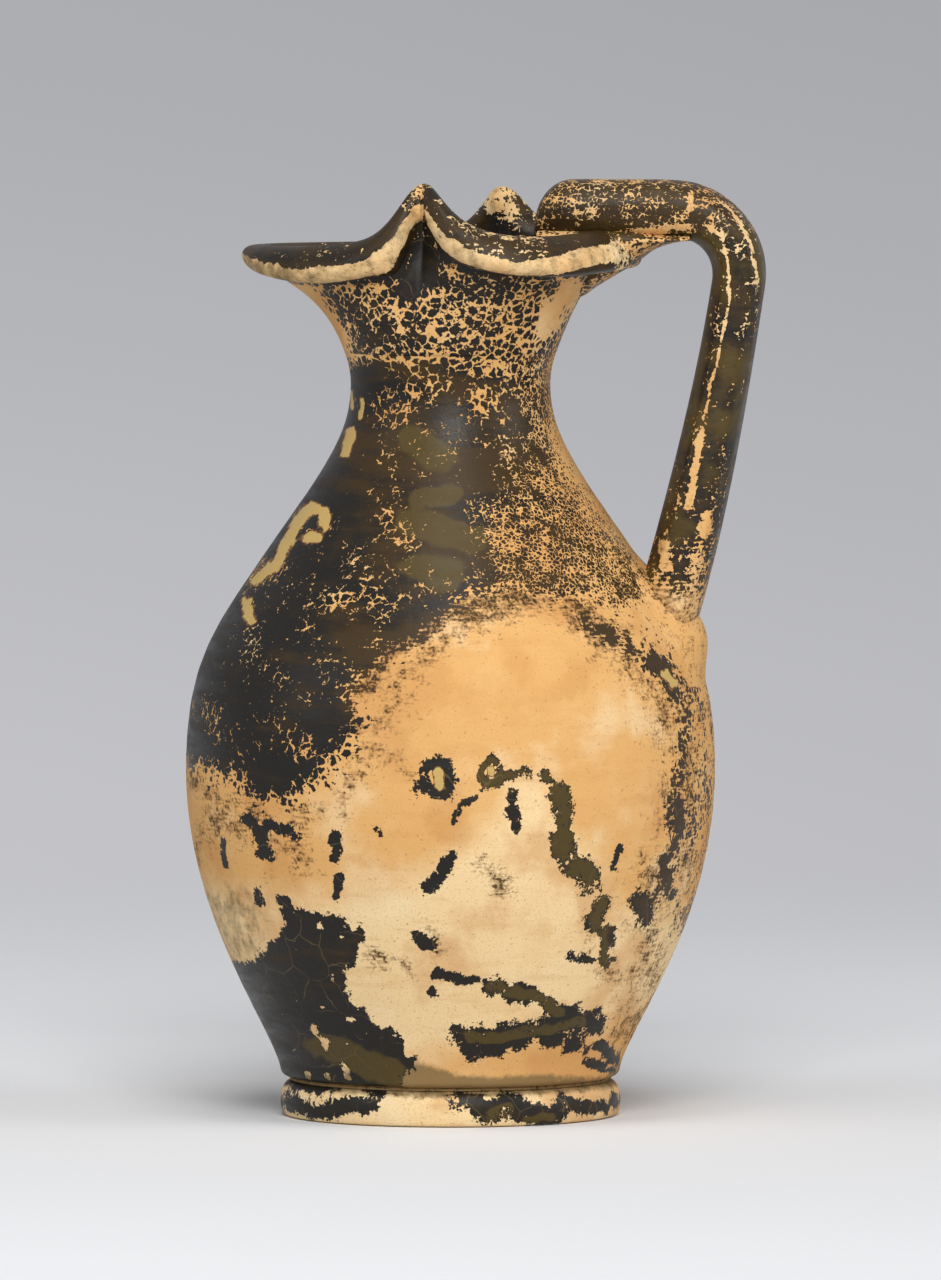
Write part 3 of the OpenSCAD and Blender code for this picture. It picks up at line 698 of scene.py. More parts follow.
def lip_reach(a):
    """Reach and half width of the lip's roll at an angle in degrees.

    With c the cosine of the way from the spout's tip to the pinch, the spout reaches out by 0.3c + 0.7c^4.
    The lobes reach out by the sine of the gap to the pinch, and the fold dies away as e^(-gap / width).
    """
    d = turn(a - SPOUT)
    share = np.abs(d) / np.where(d > 0, 360 + NEAR_PINCH - SPOUT, SPOUT - FAR_PINCH)
    gap = pinch_gap(a)
    c = np.cos(np.radians(90 * np.minimum(share, 1)))
    front = FLANK_REACH + (SPOUT_REACH - FLANK_REACH) * (0.3 * c + 0.7 * c ** 4)
    back = FLANK_REACH + (BACK_REACH - FLANK_REACH) * np.sin(np.radians(90 * np.minimum(gap / BACK_SPAN, 1)))
    fold = np.exp(-(np.hypot(gap, FOLD_ROUND) - FOLD_ROUND) / FOLD_WIDTH)
    return np.where(share < 1, front, back) - FOLD_DEPTH * fold, LIP_HALF_W * (1 - 0.43 * fold)


reaches = lip_reach(np.array([SPOUT, NEAR_PINCH, FAR_PINCH]))[0]
print("reach at the spout and at the two pinches:", reaches.round(1), "mm")

# %% [markdown]
# The lip's crest rises a little to the handle and lies lower on the far side. At each pinch the clay that
# the fingers squeeze can only go up, which gives the two peaks.

# %% The mouth's crest
LIP_Z, BACK_LIFT, FAR_DROP, LIP_HALF_H, LIP_DROOP = MOUTH_Z + 26.5, 4.5, 1.5, 4.4, 0.35
NEAR_PEAK, FAR_PEAK, NEAR_WIDTH, FAR_WIDTH, NEAR_SKEW, FAR_SKEW = 16.0, 14.0, 17.0, 16.0, 0.13, 0.32


def crest_height(a):
    """Height of the lip's top: rising to the handle, lower on the far side, with a peak at each pinch.

    A peak is 1 / (1 + (angle off it / width)^2.4), and its skew makes one flank wider than the other.
    """
    def peak(d, width, skew):
        """How much of a peak there is at so many degrees off it, from 0 to 1."""
        return 1 / (1 + (np.abs(d) / width / (1 + skew * np.sign(d))) ** 2.4)
    lift = BACK_LIFT * ((1 + np.cos(np.radians(a))) / 2) ** 4
    return (LIP_Z + lift - FAR_DROP * (1 + np.sin(np.radians(a))) / 2
            + NEAR_PEAK * peak(turn(a - NEAR_PINCH), NEAR_WIDTH, NEAR_SKEW)
            + FAR_PEAK * peak(turn(a - FAR_PINCH), FAR_WIDTH, FAR_SKEW))


def lip_frame(a):
    """Middle, half width, half height and droop of the lip's roll.

    It is drawn taller where it climbs, by the length of (1, climb over run), and turns up at the spout's tip.
    """
    reach, half_w = lip_reach(a)
    middle_r = reach - half_w
    ahead, behind = lip_reach(a + 1), lip_reach(a - 1)
    run = np.hypot(ahead[0] - ahead[1] - behind[0] + behind[1], 2 * np.pi / 180 * middle_r)
    climb = np.hypot(1, (crest_height(a + 1) - crest_height(a - 1)) / run)
    tip = np.maximum(0, np.cos(np.radians(a - SPOUT))) ** 6
    half_h = climb * LIP_HALF_H * (1 - 0.2 * tip)
    droop = LIP_DROOP * (1 - 1.9 * tip)
    return middle_r, crest_height(a) - np.hypot(half_h, droop * half_w), half_w, half_h, droop


print("highest point of the crest:", round(float(crest_height(np.arange(360.0)).max()), 1), "mm")

# %% [markdown]
# One section of the mouth is a curve up the flare, an oval roll for the lip and a curve down the inside.
# It is worked out for every angle at once. Each row keeps its place on it, so the wear can follow the roll.

# %% The mouth's surface
OUTER, ROLL, INNER = 0, 1, 2


def mouth_surface(columns, out_rows, roll_rows, in_rows):
    """Points of the outside, the roll and the inside, with their kind, their place along and their angle.

    Outside and inside are smooth curves weighted as in cubic, and the roll is an oval leaned with the flare.
    """
    a = np.linspace(-180.0, 180.0, columns, endpoint=False)
    middle_r, middle_z, half_w, half_h, droop = lip_frame(a)

    def roll(b):
        """Points of the lip's roll, at an angle in degrees round its oval."""
        b = np.radians(b)
        height = middle_z + half_h * np.sin(b) - droop * half_w * np.cos(b)
        return np.stack([middle_r + half_w * np.cos(b), height], axis=-1)

    def curve(start, start_way, start_pull, end, end_way, end_pull, count):
        """A smooth curve that leaves its start one way and comes in to its end another."""
        pulls = start + start_pull[:, None] * start_way, end - end_pull[:, None] * end_way
        return cubic(start, *pulls, end, count, endpoint=False)

    flare_start = np.tile([MOUTH_R, MOUTH_Z], (columns, 1))
    inside_start = np.tile([radius_at(inner_wall, MOUTH_Z), MOUTH_Z], (columns, 1))
    flare = np.array([2 * (MOUTH_R - NECK_R), MOUTH_Z - NECK_Z])
    flare = flare / np.linalg.norm(flare)
    lean = np.degrees(np.arctan2(middle_z - MOUTH_Z, middle_r - MOUTH_R))
    under, inner = roll(lean - 170), roll(lean + 120)
    out_way = np.stack([np.cos(np.radians(lean - 15)), np.sin(np.radians(lean - 15))], axis=-1)
    in_way = np.stack([np.cos(np.radians(lean + 5)), np.sin(np.radians(lean + 5))], axis=-1)
    out_span = np.linalg.norm(under - flare_start, axis=1)
    in_span = np.linalg.norm(inner - inside_start, axis=1)
    outside = curve(flare_start, flare, 0.4 * out_span, under, out_way, 0.35 * out_span, out_rows)
    b = lean[None, :] - 170 + 290 * np.linspace(0.0, 1.0, roll_rows)[:, None]
    rolled = roll(b)
    inside = curve(inside_start, flare, 0.35 * in_span, inner, in_way, 0.3 * in_span, in_rows)[::-1]
    section = np.concatenate([outside, rolled, inside])
    points = on_circle(section[..., 0], np.radians(a), section[..., 1])
    kind = np.repeat([OUTER, ROLL, INNER], [out_rows, roll_rows, in_rows])[:, None] + 0 * a
    along = np.concatenate([(np.arange(out_rows) / out_rows)[:, None] + 0 * a, b,
                            (np.arange(in_rows) / in_rows)[:, None] + 0 * a])
    return points.reshape(-1, 3), kind.reshape(-1), along.reshape(-1), np.tile(a, len(section))


MOUTH_STEPS = 560
mouth_points, kind, along, around = mouth_surface(MOUTH_STEPS, 44, 64, 40)
mouth_faces = grid_quads(len(mouth_points) // MOUTH_STEPS, MOUTH_STEPS, True, True)
mouth = mesh_piece("trefoil_mouth.skin", mouth_points, mouth_faces, 80.0)

# %% [markdown]
# Hands and other pots rub the outer edge of the lip first, so a band of pale clay runs all round it,
# with the gloss whole on its top, in the groove below and inside the neck.

# %% Wear on the mouth
RIM_BARE = [([(-37.4, 204.4), (-31.2, 198), (-28, 192.5)], 2.4), ([(24, 197), (30, 206)], 2.0)]
FOLD_BLACK = [([(-6.6, 217.4), (-7.6, 211.9), (-9.6, 206)], 2.4), ([(-4.5, 214), (-4.6, 207)], 1.5)]
FOLD_LINE = [([(-6.2, 229), (-6.4, 222), (-6.6, 216)], 0.55)]
mouth_wear = paint_wall(mouth_points)
x, y, side = seen(mouth_points)
outer, rolled = kind == OUTER, kind == ROLL
cover = mouth_wear["cover"]
crackled = 0.715 + 0.04 * wander(mouth_points, 7.0, 31) - 0.03 * ease(x, -4, 8)
cover = np.where(outer, np.maximum(cover, crackled) - 0.5 * strokes(x, y, RIM_BARE), cover)
cover = np.where(outer & (along > 0.86), np.maximum(cover, 0.7 + 1.6 * (along - 0.86)), cover)
pinch = pinch_gap(around)
peak_worn = np.exp(-(pinch / 8.0) ** 2) * np.clip((mouth_points[:, 2] - 219) / 6, 0, 1)
print("mouth:", int(outer.sum()), "points outside,", int(rolled.sum()), "on the roll")

# %% [markdown]
# The band follows the roll's own angle, so it stays level with the lip however the lip bends.
# Near the strap it climbs with the clay and fades where fewer hands reach.

# %% The rubbed band on the lip
unsteady = 9 * wander(mouth_points, 5.0, 33) + 6 * wander(mouth_points, 1.8, 35)
climbing = 45.0 * ease(x, 14, 40)
edge_low = -45.0 - 18.0 * ease(-x, 12, 40) + unsteady + climbing
edge_high = 9.0 + unsteady + climbing
band = np.clip((along - edge_low) / 10 + 0.5, 0, 1) * np.clip((edge_high - along) / 10 + 0.5, 0, 1)
band = band * (1 - 0.9 * ease(x, 37, 43))
on_roll = 0.88 + 0.06 * wander(mouth_points, 5.0, 37) - 0.8 * band - 0.16 * ease(x, 34, 44)
on_roll = on_roll - (0.24 + 0.12 * wander(mouth_points, 3.0, 39)) * peak_worn
flaked = ease(x, -5, 3) * (1 - ease(x, 18, 30)) * np.clip(0.7 + wander(mouth_points, 2.2, 63), 0, 1)
cover = np.where(rolled, on_roll - 0.17 * flaked, cover)
cover = np.where(kind == INNER, 0.93 - 0.2 * peak_worn, cover)
creases = np.where(outer, strokes(x, y, FOLD_BLACK), np.where(rolled, strokes(x, y, FOLD_LINE), 0.0))
lip_film = 0.40 + 0.12 * wander(mouth_points, 5.0, 53) + 0.24 * ease(-x, 20, 46)
mouth_wear.update({
    "cover": cover, "mark": 1.2 * side * creases, "cream": np.where(rolled, 0.66 - 0.4 * peak_worn, 0.12),
    "fine": np.where(outer, 0.12, 0.5), "smoke": np.where(rolled, 0.38, 0.12),
    "sepia": np.where(rolled, 0.5, 0.15), "flake": np.zeros(len(x)), "film": np.where(rolled, lip_film, 0.0)})
give_wear(mouth, mouth_wear)
print("lip: bare on", round(float((on_roll[rolled] < 0.4).mean()), 2), "of the roll's points")

# %% [markdown]
# The handle is a strap pulled from a lump of wet clay. The fingers leave it flat on its sides, with a soft
# ridge at each corner, where the gloss has rubbed through. Its section is carried along one line:
# level over the lip, round a bend and down to the shoulder.

# %% The handle's line
STRAP_START, HANDLE_REACH, BEND_R, ARM_CURL, ROOT_SUNK = 21.5, 78.3, 16.0, 5.0, 9.0
TOP_T, ARM_T, ROOT_T, TOP_W, ARM_W, ROOT_W = 15.0, 13.3, 16.0, 22.0, 20.5, 26.0
under_z = float(crest_height(np.array([0.0]))[0]) - 2.6
top_z = under_z + TOP_T / 2
root_z = BELLY_Z + 41.5
root_r = float(radius_at(outer_wall, root_z))
arm_x = HANDLE_REACH - ARM_T / 2
bend_depth = 1.19 * BEND_R
lean = np.arctan2(arm_x - root_r - ARM_CURL, top_z - bend_depth - root_z)
corner_x = arm_x + bend_depth * np.tan(lean)
bend_run = BEND_R * np.tan(np.pi / 4 + lean / 2)
bend_middle = np.array([corner_x - bend_run, top_z - BEND_R])
arm_way = np.array([-np.sin(lean), -np.cos(lean)])
arm_start = np.array([corner_x, top_z]) + bend_run * arm_way
arm_length = float(np.linalg.norm([root_r + ARM_CURL - arm_start[0], root_z - arm_start[1]]))
level_length = corner_x - bend_run - STRAP_START
bend_length = BEND_R * (np.pi / 2 + lean)
strap_length = level_length + bend_length + arm_length + ROOT_SUNK
print("strap length", round(float(strap_length), 1), "mm")


def strap_line(s):
    """Place and heading of the strap's middle line at distance s from its inner end.

    A straight, then an arc at the bend's radius, then an arm that curls in by the curl times t^2,
    with t the share of the arm. The heading of the arm is the slope of that, 2 x curl x t over its length.
    """
    b = np.pi / 2 - np.clip((s - level_length) / BEND_R, 0, np.pi / 2 + lean)
    arc = bend_middle + BEND_R * np.stack([np.cos(b), np.sin(b)], axis=1)
    level = np.stack([STRAP_START + s, np.full_like(s, top_z)], axis=1)
    t = np.maximum(s - level_length - bend_length, 0) / arm_length
    arm = arm_start + (t * arm_length)[:, None] * arm_way - np.stack([ARM_CURL * t * t, 0 * t], axis=1)
    arc_or_arm = np.where((s < level_length + bend_length)[:, None], arc, arm)
    place = np.where((s < level_length)[:, None], level, arc_or_arm)
    heading = (b - np.pi / 2) - np.arctan(2 * ARM_CURL * t / arm_length)
    return place, heading


# %% [markdown]
# The strap's section is drawn once as a small outline and softened, as a wet hand softens clay.
# There are two: a plain oval for the pad, and a flat one with a ridge at each corner for the arm.

# %% The handle's section
SIDES, LOOP_STEPS, BLUR_REACH = 144, 720, 60


def even_loop(corners, count, blur):
    """A closed outline through the corners, evenly spaced and softened.

    Each point becomes the mean of its neighbours, weighted by the bell e^(-(k / blur)^2 / 2).
    """
    line = evenly(np.vstack([corners, corners[:1]]), count=LOOP_STEPS, closed=True)
    k = np.arange(-BLUR_REACH, BLUR_REACH + 1)
    bell = np.exp(-(k / (LOOP_STEPS * blur)) ** 2 / 2)
    bell /= bell.sum()
    wrapped = np.concatenate([line[-BLUR_REACH:], line, line[:BLUR_REACH]])
    soft = np.stack([np.convolve(wrapped[:, i], bell, "valid") for i in (0, 1)], axis=1)
    soft /= np.abs(soft).max(axis=0)
    return soft[:: LOOP_STEPS // count]


def both_halves(half):
    """A half outline from the right end to the left end, closed by its mirror image."""
    return np.array(half + [(o, -c) for o, c in half[-2:0:-1]])


RIDGES = [(0.66, 0.97), (-0.46, 0.97)]
ridged_half = [(1.0, 0.0), (0.97, 0.5), RIDGES[0], (0.05, 1.02), RIDGES[1], (-0.95, 0.42), (-1.0, 0.0)]
ridged = even_loop(both_halves(ridged_half), SIDES, 0.016)
plain_half = [(np.cos(b) * abs(np.cos(b)) ** -0.22, np.sin(b) ** 0.7)
              for b in np.radians(np.arange(2, 180, 4))]
plain = even_loop(both_halves([(1.0, 0.0)] + plain_half + [(-1.0, 0.0)]), SIDES, 0.010)
ridge_places = np.array(RIDGES + [(o, -c) for o, c in RIDGES])
half_size = [ARM_T / 2 - 0.05, ARM_W / 2 - 0.05]
to_ridge = np.linalg.norm((ridged[:, None, :] - ridge_places[None]) * half_size, axis=2)
on_ridge = np.exp(-(to_ridge.min(axis=1) / 1.3) ** 2)
print("section:", SIDES, "points,", int((on_ridge > 0.5).sum()), "of them on a ridge")

# %% [markdown]
# The section is carried along the line, thicker and wider at the pad and at the root.
# The inner end is rounded like a thumb, so the first rows close in quickly.

# %% The handle's rows
END_ROUND, END_DROP, STRAP_FIT, ROW = 9.0, 11.0, 0.985, 0.6
past_bend = level_length + bend_length
s = np.concatenate([END_ROUND * np.linspace(0, 1, 16) ** 1.7, np.arange(END_ROUND + ROW, level_length, ROW),
                    np.linspace(level_length, past_bend, 64), np.arange(past_bend + ROW, strap_length, ROW)])
place, heading = strap_line(s)
end_share = np.where(s < END_ROUND, 1 - np.sqrt(1 - (1 - np.minimum(s, END_ROUND) / END_ROUND) ** 2), 0)
root_share = ease(s, past_bend, strap_length - ROOT_SUNK)
thinner = ease(s, level_length - 6, level_length + bend_length * 0.6)
thick = TOP_T - END_DROP * end_share + (ARM_T - TOP_T) * thinner + (ROOT_T - ARM_T) * root_share
wide = (TOP_W * (1 - 0.45 * end_share) + (ARM_W - TOP_W) * ease(s, level_length, past_bend)
        + (ROOT_W - ARM_W) * root_share)
up = np.stack([-np.sin(heading), np.cos(heading)], axis=1)
middle = place - (END_DROP / 2 * end_share)[:, None] * up
ridge_share = ease(s, level_length - 4, level_length + 0.7 * bend_length)
ridge_share = ridge_share * (1 - 0.6 * ease(s, strap_length - 26, strap_length - 8))
print("strap rows:", len(s))

# %% [markdown]
# Each row's section blends from plain to ridged. Then the last rows are kept out of the wall's inside:
# they sink into it, as the pressed clay did, and never go through it.

# %% The handle's surface
SINK_LIMIT, SINK_Z = 2.2, 150.0
share = ridge_share[:, None, None]
shape = plain[None] * (1 - share) + ridged[None] * share
out = shape[..., 0] * thick[:, None] / 2 * STRAP_FIT
across = shape[..., 1] * wide[:, None] / 2 * STRAP_FIT
strap = np.stack([middle[:, None, 0] + out * up[:, None, 0], -across,
                  middle[:, None, 1] + out * up[:, None, 1]], axis=-1)
radius = np.hypot(strap[..., 0], strap[..., 1])
keep_out = radius_at(outer_wall, strap[..., 2]) - SINK_LIMIT
too_deep = (strap[..., 2] < SINK_Z) & (radius < keep_out)
strap[..., :2] *= np.where(too_deep, keep_out / np.maximum(radius, 1), 1.0)[..., None]
ends = [strap[0].mean(axis=0) - [0.6, 0, 0], strap[-1].mean(axis=0)]
strap_points = np.vstack([strap.reshape(-1, 3), ends])
handle = mesh_piece("handle.skin", strap_points, tube_faces(len(s), SIDES), 70.0)

# %% [markdown]
# The hand rubs a strap along its ridges first. The long pale lines of the photograph are strokes,
# and a quick wander breaks them, so that they come and go along the arm.

# %% Wear on the handle
HANDLE_BARE = [
    ([(63.3, 221.8), (67.5, 218.9), (69, 211.9), (69.3, 204.9), (68, 196.2), (66, 187.5), (64.3, 180.1),
      (63, 174.6)], 0.27),
    ([(62.4, 171), (60.8, 162), (58.8, 152)], 0.6),
    ([(67, 228.3), (71, 224.3), (74.5, 217.9), (76.0, 211.4), (76.3, 202.4), (76.0, 196)], 0.42),
    ([(73.5, 183), (73, 177.1)], 0.8),
    ([(72, 170), (71, 160)], 0.45),
    ([(69, 158), (67.3, 149)], 0.45),
    ([(53.1, 142), (53.6, 136.3)], 0.9),
    ([(62.5, 145.2), (63.5, 148.7)], 1.0),
    ([(50.9, 128), (59.6, 125), (63.5, 125)], 2.4),
    ([(59.6, 229.3), (59.8, 224.8)], 0.6),
    ([(42.7, 219.4), (50.9, 220.3), (59.1, 220.8)], 0.6),
]


def paint_strap(points, ridge):
    """Wear on the strap: crackled over the lip, nearly whole below, bare along its ridges.

    Cover is 0.86 less a share for each of these, plus a slow wander.
    """
    x, y, side = seen(points, 0.45)
    top = ease(y, 214, 224)
    low = ease(-y, -152, -126)
    bare = strokes(x, y, HANDLE_BARE) * (0.35 + 0.65 * side) * ease(np.abs(points[:, 1]), 5.5, 8.5)
    bare = bare * (0.70 + 0.62 * wander(points, 1.7, 55))
    cover = 0.86 - 0.10 * top - 0.16 * low - 0.8 * bare - 0.07 * ridge * (1 - top)
    cover = cover + 0.045 * wander(points, 6.0, 41)
    return wear_numbers(len(x), cover=cover, fine=0.45 + 0.4 * top, cream=0.15 + 0.6 * (x > 66) * (y > 190),
                        smoke=0.4 + 0.3 * low, sepia=0.55 + 0.3 * top, olive=0.42 - 0.12 * top)


ridge_weight = np.concatenate([(on_ridge[None] * ridge_share[:, None]).reshape(-1), [0, 0]])
strap_wear = paint_strap(strap_points, ridge_weight)
give_wear(handle, strap_wear)
print("strap: bare clay on", round(float((strap_wear["cover"] < 0.4).mean()), 3), "of its points")

# %% [markdown]
# Where the strap was pressed on, the potter smoothed in more clay: under it, on both sides of the lip,
# and round its root on the shoulder. These fillets carry the eye from one form to the next.

# %% Clay under the strap at the lip
LUTING_SIDE, LUTING_BITE, LUTING_ROWS, LUTING_SIDES = 1.3, 3.0, 80, 56
rear_reach = float(lip_reach(np.array([0.0]))[0][0])
inner_knots = [[STRAP_START + 1, 4], [STRAP_START + 4, 8], [STRAP_START + 8, 14]]
lip_knots = [[-14.6, 14.2], [-12.4, 12.0], [-10, 10.6], [-6, 8.1], [-0.5, 5], [2.5, 2.2], [6, 0.8],
             [10, -0.2], [13, -0.6]]
knots = np.array(inner_knots + [[rear_reach + off, below] for off, below in lip_knots])
reach = np.linspace(knots[0, 0], knots[-1, 0], LUTING_ROWS)
depth = np.interp(reach, knots[:, 0], knots[:, 1])
depth = np.convolve(np.pad(depth, 4, mode="edge"), np.ones(9) / 9, "valid")
full = ease(depth, -1, 7)
half_w = (TOP_W / 2 + LUTING_SIDE) * (0.80 + 0.20 * full)
bite = LUTING_BITE * (0.5 + 0.5 * full)
b = np.linspace(0, 2 * np.pi, LUTING_SIDES, endpoint=False)
turned_up, turned_side = np.abs(np.cos(b)), np.sign(np.sin(b)) * np.abs(np.sin(b)) ** 0.8
rise = np.where(np.cos(b) > 0, bite[:, None] * turned_up ** 0.8, -(depth + 0.6)[:, None] * turned_up ** 1.2)
along_strap = np.repeat(reach[:, None], LUTING_SIDES, axis=1)
luting = np.stack([along_strap, -half_w[:, None] * turned_side, under_z + rise], axis=-1)
luting_points = np.vstack([luting.reshape(-1, 3), [luting[0].mean(axis=0), luting[-1].mean(axis=0)]])
top_luting = mesh_piece("handle_top_luting.skin", luting_points, tube_faces(LUTING_ROWS, LUTING_SIDES), 60.0)
luting_wear = paint_strap(luting_points, np.zeros(len(luting_points)))
luting_wear["cover"] = 0.70 + 0.06 * wander(luting_points, 5.0, 43)
give_wear(top_luting, luting_wear)

# %% [markdown]
# At the root the clay is a low mound laid on the wall. Its height is the product of a hump across and a
# steeper hump upward, which fall to just under the wall's surface at the rim, so no edge shows.

# %% Clay round the strap's root
MOUND_T, MOUND_ANGLE, MOUND_H, MOUND_LOW, RIM_SUNK, MOUND_BACK = 5.6, np.radians(21.0), 20.0, 3.5, 0.4, 1.6
MOUND_STEPS = 90
u, v = np.meshgrid(np.linspace(-1, 1, MOUND_STEPS), np.linspace(-1, 1, MOUND_STEPS), indexing="ij")
z = root_z - MOUND_LOW + MOUND_H * v
lift = (MOUND_T + RIM_SUNK) * (1 - u * u) ** 2 * (1 - v * v) ** 3 - RIM_SUNK
wall_r = radius_at(outer_wall, z)
mound_points = np.vstack([on_circle(r, MOUND_ANGLE * u, z).reshape(-1, 3)
                          for r in (wall_r + lift, wall_r - MOUND_BACK)])
print("mound:", len(mound_points), "points")

# %% [markdown]
# The mound's skin and its back are the same grid. The back's faces are the front's, turned over, and a strip
# of faces round the rim joins the two, so the piece is closed.

# %% The mound's faces and wear
grid = np.arange(MOUND_STEPS ** 2).reshape(MOUND_STEPS, MOUND_STEPS)
rim_a = np.concatenate([grid[:, 0], grid[-1, 1:], grid[-2::-1, -1], grid[0, -2:0:-1]])
rim_b = np.roll(rim_a, -1)
front = np.array(grid_quads(MOUND_STEPS, MOUND_STEPS, False, False))
rim_faces = np.stack([rim_a, rim_b, rim_b + grid.size, rim_a + grid.size], axis=1)[:, ::-1]
mound_faces = np.vstack([front[:, ::-1], front + grid.size, rim_faces]).tolist()
root_luting = mesh_piece("handle_root_luting.skin", mound_points, mound_faces, 60.0)
root_wear = paint_wall(mound_points)
_, y, _ = seen(mound_points)
handled = (0.58 + 0.1 * wander(mound_points, 4.0, 45)) * ease(y, 120, 132)
root_wear["cover"] = np.maximum(root_wear["cover"] * 0.7, handled)
root_wear["smoke"] = np.full(len(y), 0.5)
give_wear(root_luting, root_wear)

# %% [markdown]
# One finish serves the whole jug, because it is one slip on one clay. A crack pattern is a net of cells:
# the gloss is left wherever its cover, plus the distance to the nearest crack, plus some raggedness,
# passes a limit. With much cover that leaves thin cracks in black; with less, black islands in bare clay.
# A material is a tree of nodes. A small class with one method for each kind keeps its lines short.

# %% Shader helpers
class Nodes:
    """The nodes of a material or a world, with one short method for each kind that the jug needs."""

    def __init__(self, owner):
        """Starts with an empty tree. The place is where a point lies in its object, in metres."""
        owner.use_nodes = True
        self.tree = owner.node_tree
        self.tree.nodes.clear()
        self.place = self.node("ShaderNodeTexCoord").outputs["Object"]

    def node(self, kind, fed=(), **settings):
        """A new node of a kind, with its settings. Each input that is fed gets a link or a plain value."""
        made = self.tree.nodes.new(kind)
        for name, value in settings.items():
            setattr(made, name, value)
        for name, value in dict(fed).items():
            if isinstance(value, bpy.types.NodeSocket):
                self.tree.links.new(value, made.inputs[name])
            else:
                made.inputs[name].default_value = value
        return made

    def wear(self, name):
        """One of the wear numbers that the points carry."""
        return self.node("ShaderNodeAttribute", attribute_name=name).outputs["Fac"]

    def math(self, operation, a, b=0.0, c=0.0, clamp=False):
        """The result of a sum, product or other operation on up to three values."""
        fed = {0: a, 1: b, 2: c}
        return self.node("ShaderNodeMath", fed, operation=operation, use_clamp=clamp).outputs[0]

    def plus(self, total, *terms):
        """A value plus each of the other values times its share."""
        for value, share in terms:
            total = self.math("MULTIPLY_ADD", value, share, total)
        return total

    def step(self, value, low, high, to_low=0.0, to_high=1.0):
        """A smooth change from to_low to to_high as the value passes from low to high, by 3t^2 - 2t^3."""
        fed = {"Value": value, "From Min": low, "From Max": high, "To Min": to_low, "To Max": to_high}
        return self.node("ShaderNodeMapRange", fed, interpolation_type="SMOOTHSTEP").outputs[0]

    def noise(self, scale, detail=4.0, roughness=0.55, place=None):
        """A cloudy noise with so many lumps to a metre."""
        fed = {"Vector": place or self.place, "Scale": scale, "Detail": detail, "Roughness": roughness}
        return self.node("ShaderNodeTexNoise", fed)

    def spread(self, noise):
        """A noise's value times 7.5 less 3.75: its usual 0.3 to 0.7 becomes about -1.5 to 1.5."""
        return self.math("MULTIPLY_ADD", noise.outputs["Fac"], 7.5, -3.75)

    def cracks(self, scale, place):
        """Distance from the nearest edge of a net of cells."""
        fed = {"Vector": place, "Scale": scale}
        return self.node("ShaderNodeTexVoronoi", fed, feature="DISTANCE_TO_EDGE").outputs["Distance"]

    def mix(self, share, a, b):
        """Colour a times 1 - share, plus colour b times share."""
        return self.node("ShaderNodeMix", {0: share, 6: a, 7: b}, data_type="RGBA").outputs[2]

    def layered(self, colour, layers):
        """Colours laid over one another, each up to its share as its value passes from low to high."""
        for value, low, high, share, over in layers:
            colour = self.mix(self.step(value, low, high, 0.0, share), colour, over)
        return colour

    def shifted(self, scale, amount):
        """The place, pushed about by a noise, so that a net of straight cells turns ragged."""
        fed = {0: self.noise(scale, 3.0).outputs["Color"], 1: (0.5, 0.5, 0.5)}
        centred = self.node("ShaderNodeVectorMath", fed, operation="SUBTRACT").outputs[0]
        fed = {0: centred, 1: (amount, amount, amount), 2: self.place}
        return self.node("ShaderNodeVectorMath", fed, operation="MULTIPLY_ADD").outputs[0]


# %% [markdown]
# All the roughness comes from a few noises of different grain, from clouds of 2 cm to grains under half a
# millimetre. Two are stretched level, because a wheel and a hand leave level bands and scratches.

# %% Noises of the finish
LEVEL_STRETCH = (0.16, 0.16, 1.0)
ROUND_NOISES = {"cloudy": (38.0, 4.0, 0.55), "patchy": (70.0, 4.0, 0.6), "crumbly": (330.0, 4.0, 0.65),
                "gritty": (1300.0, 3.0, 0.6), "grain": (2600.0, 2.0, 0.5)}
LEVEL_NOISES = {"banded": (300.0, 4.0, 0.6), "scratched": (1500.0, 2.0, 0.5)}
print("noises:", ", ".join([*ROUND_NOISES, *LEVEL_NOISES]))


def finish_noises(f):
    """The noises of a finish by name, from their lumps to a metre, detail and roughness."""
    level = f.node("ShaderNodeMapping", {"Vector": f.place, "Scale": LEVEL_STRETCH}).outputs["Vector"]
    noises = {name: f.spread(f.noise(*kind)) for name, kind in ROUND_NOISES.items()}
    for name, kind in LEVEL_NOISES.items():
        noises[name] = f.spread(f.noise(*kind, place=level))
    return noises


# %% [markdown]
# Where the gloss is left is a yes or no at every point, cut sharp from soft numbers.
# The crackle comes from two nets of cells, coarse and fine, and the marks come from the painted strokes.

# %% Where the gloss is left
CRACKLE_CUT, STAIN_CUT, WIDEST_CRACK = (0.785, 0.82), (0.49, 0.53), 0.3
print("crackled gloss is cut from", CRACKLE_CUT[0], "to", CRACKLE_CUT[1])


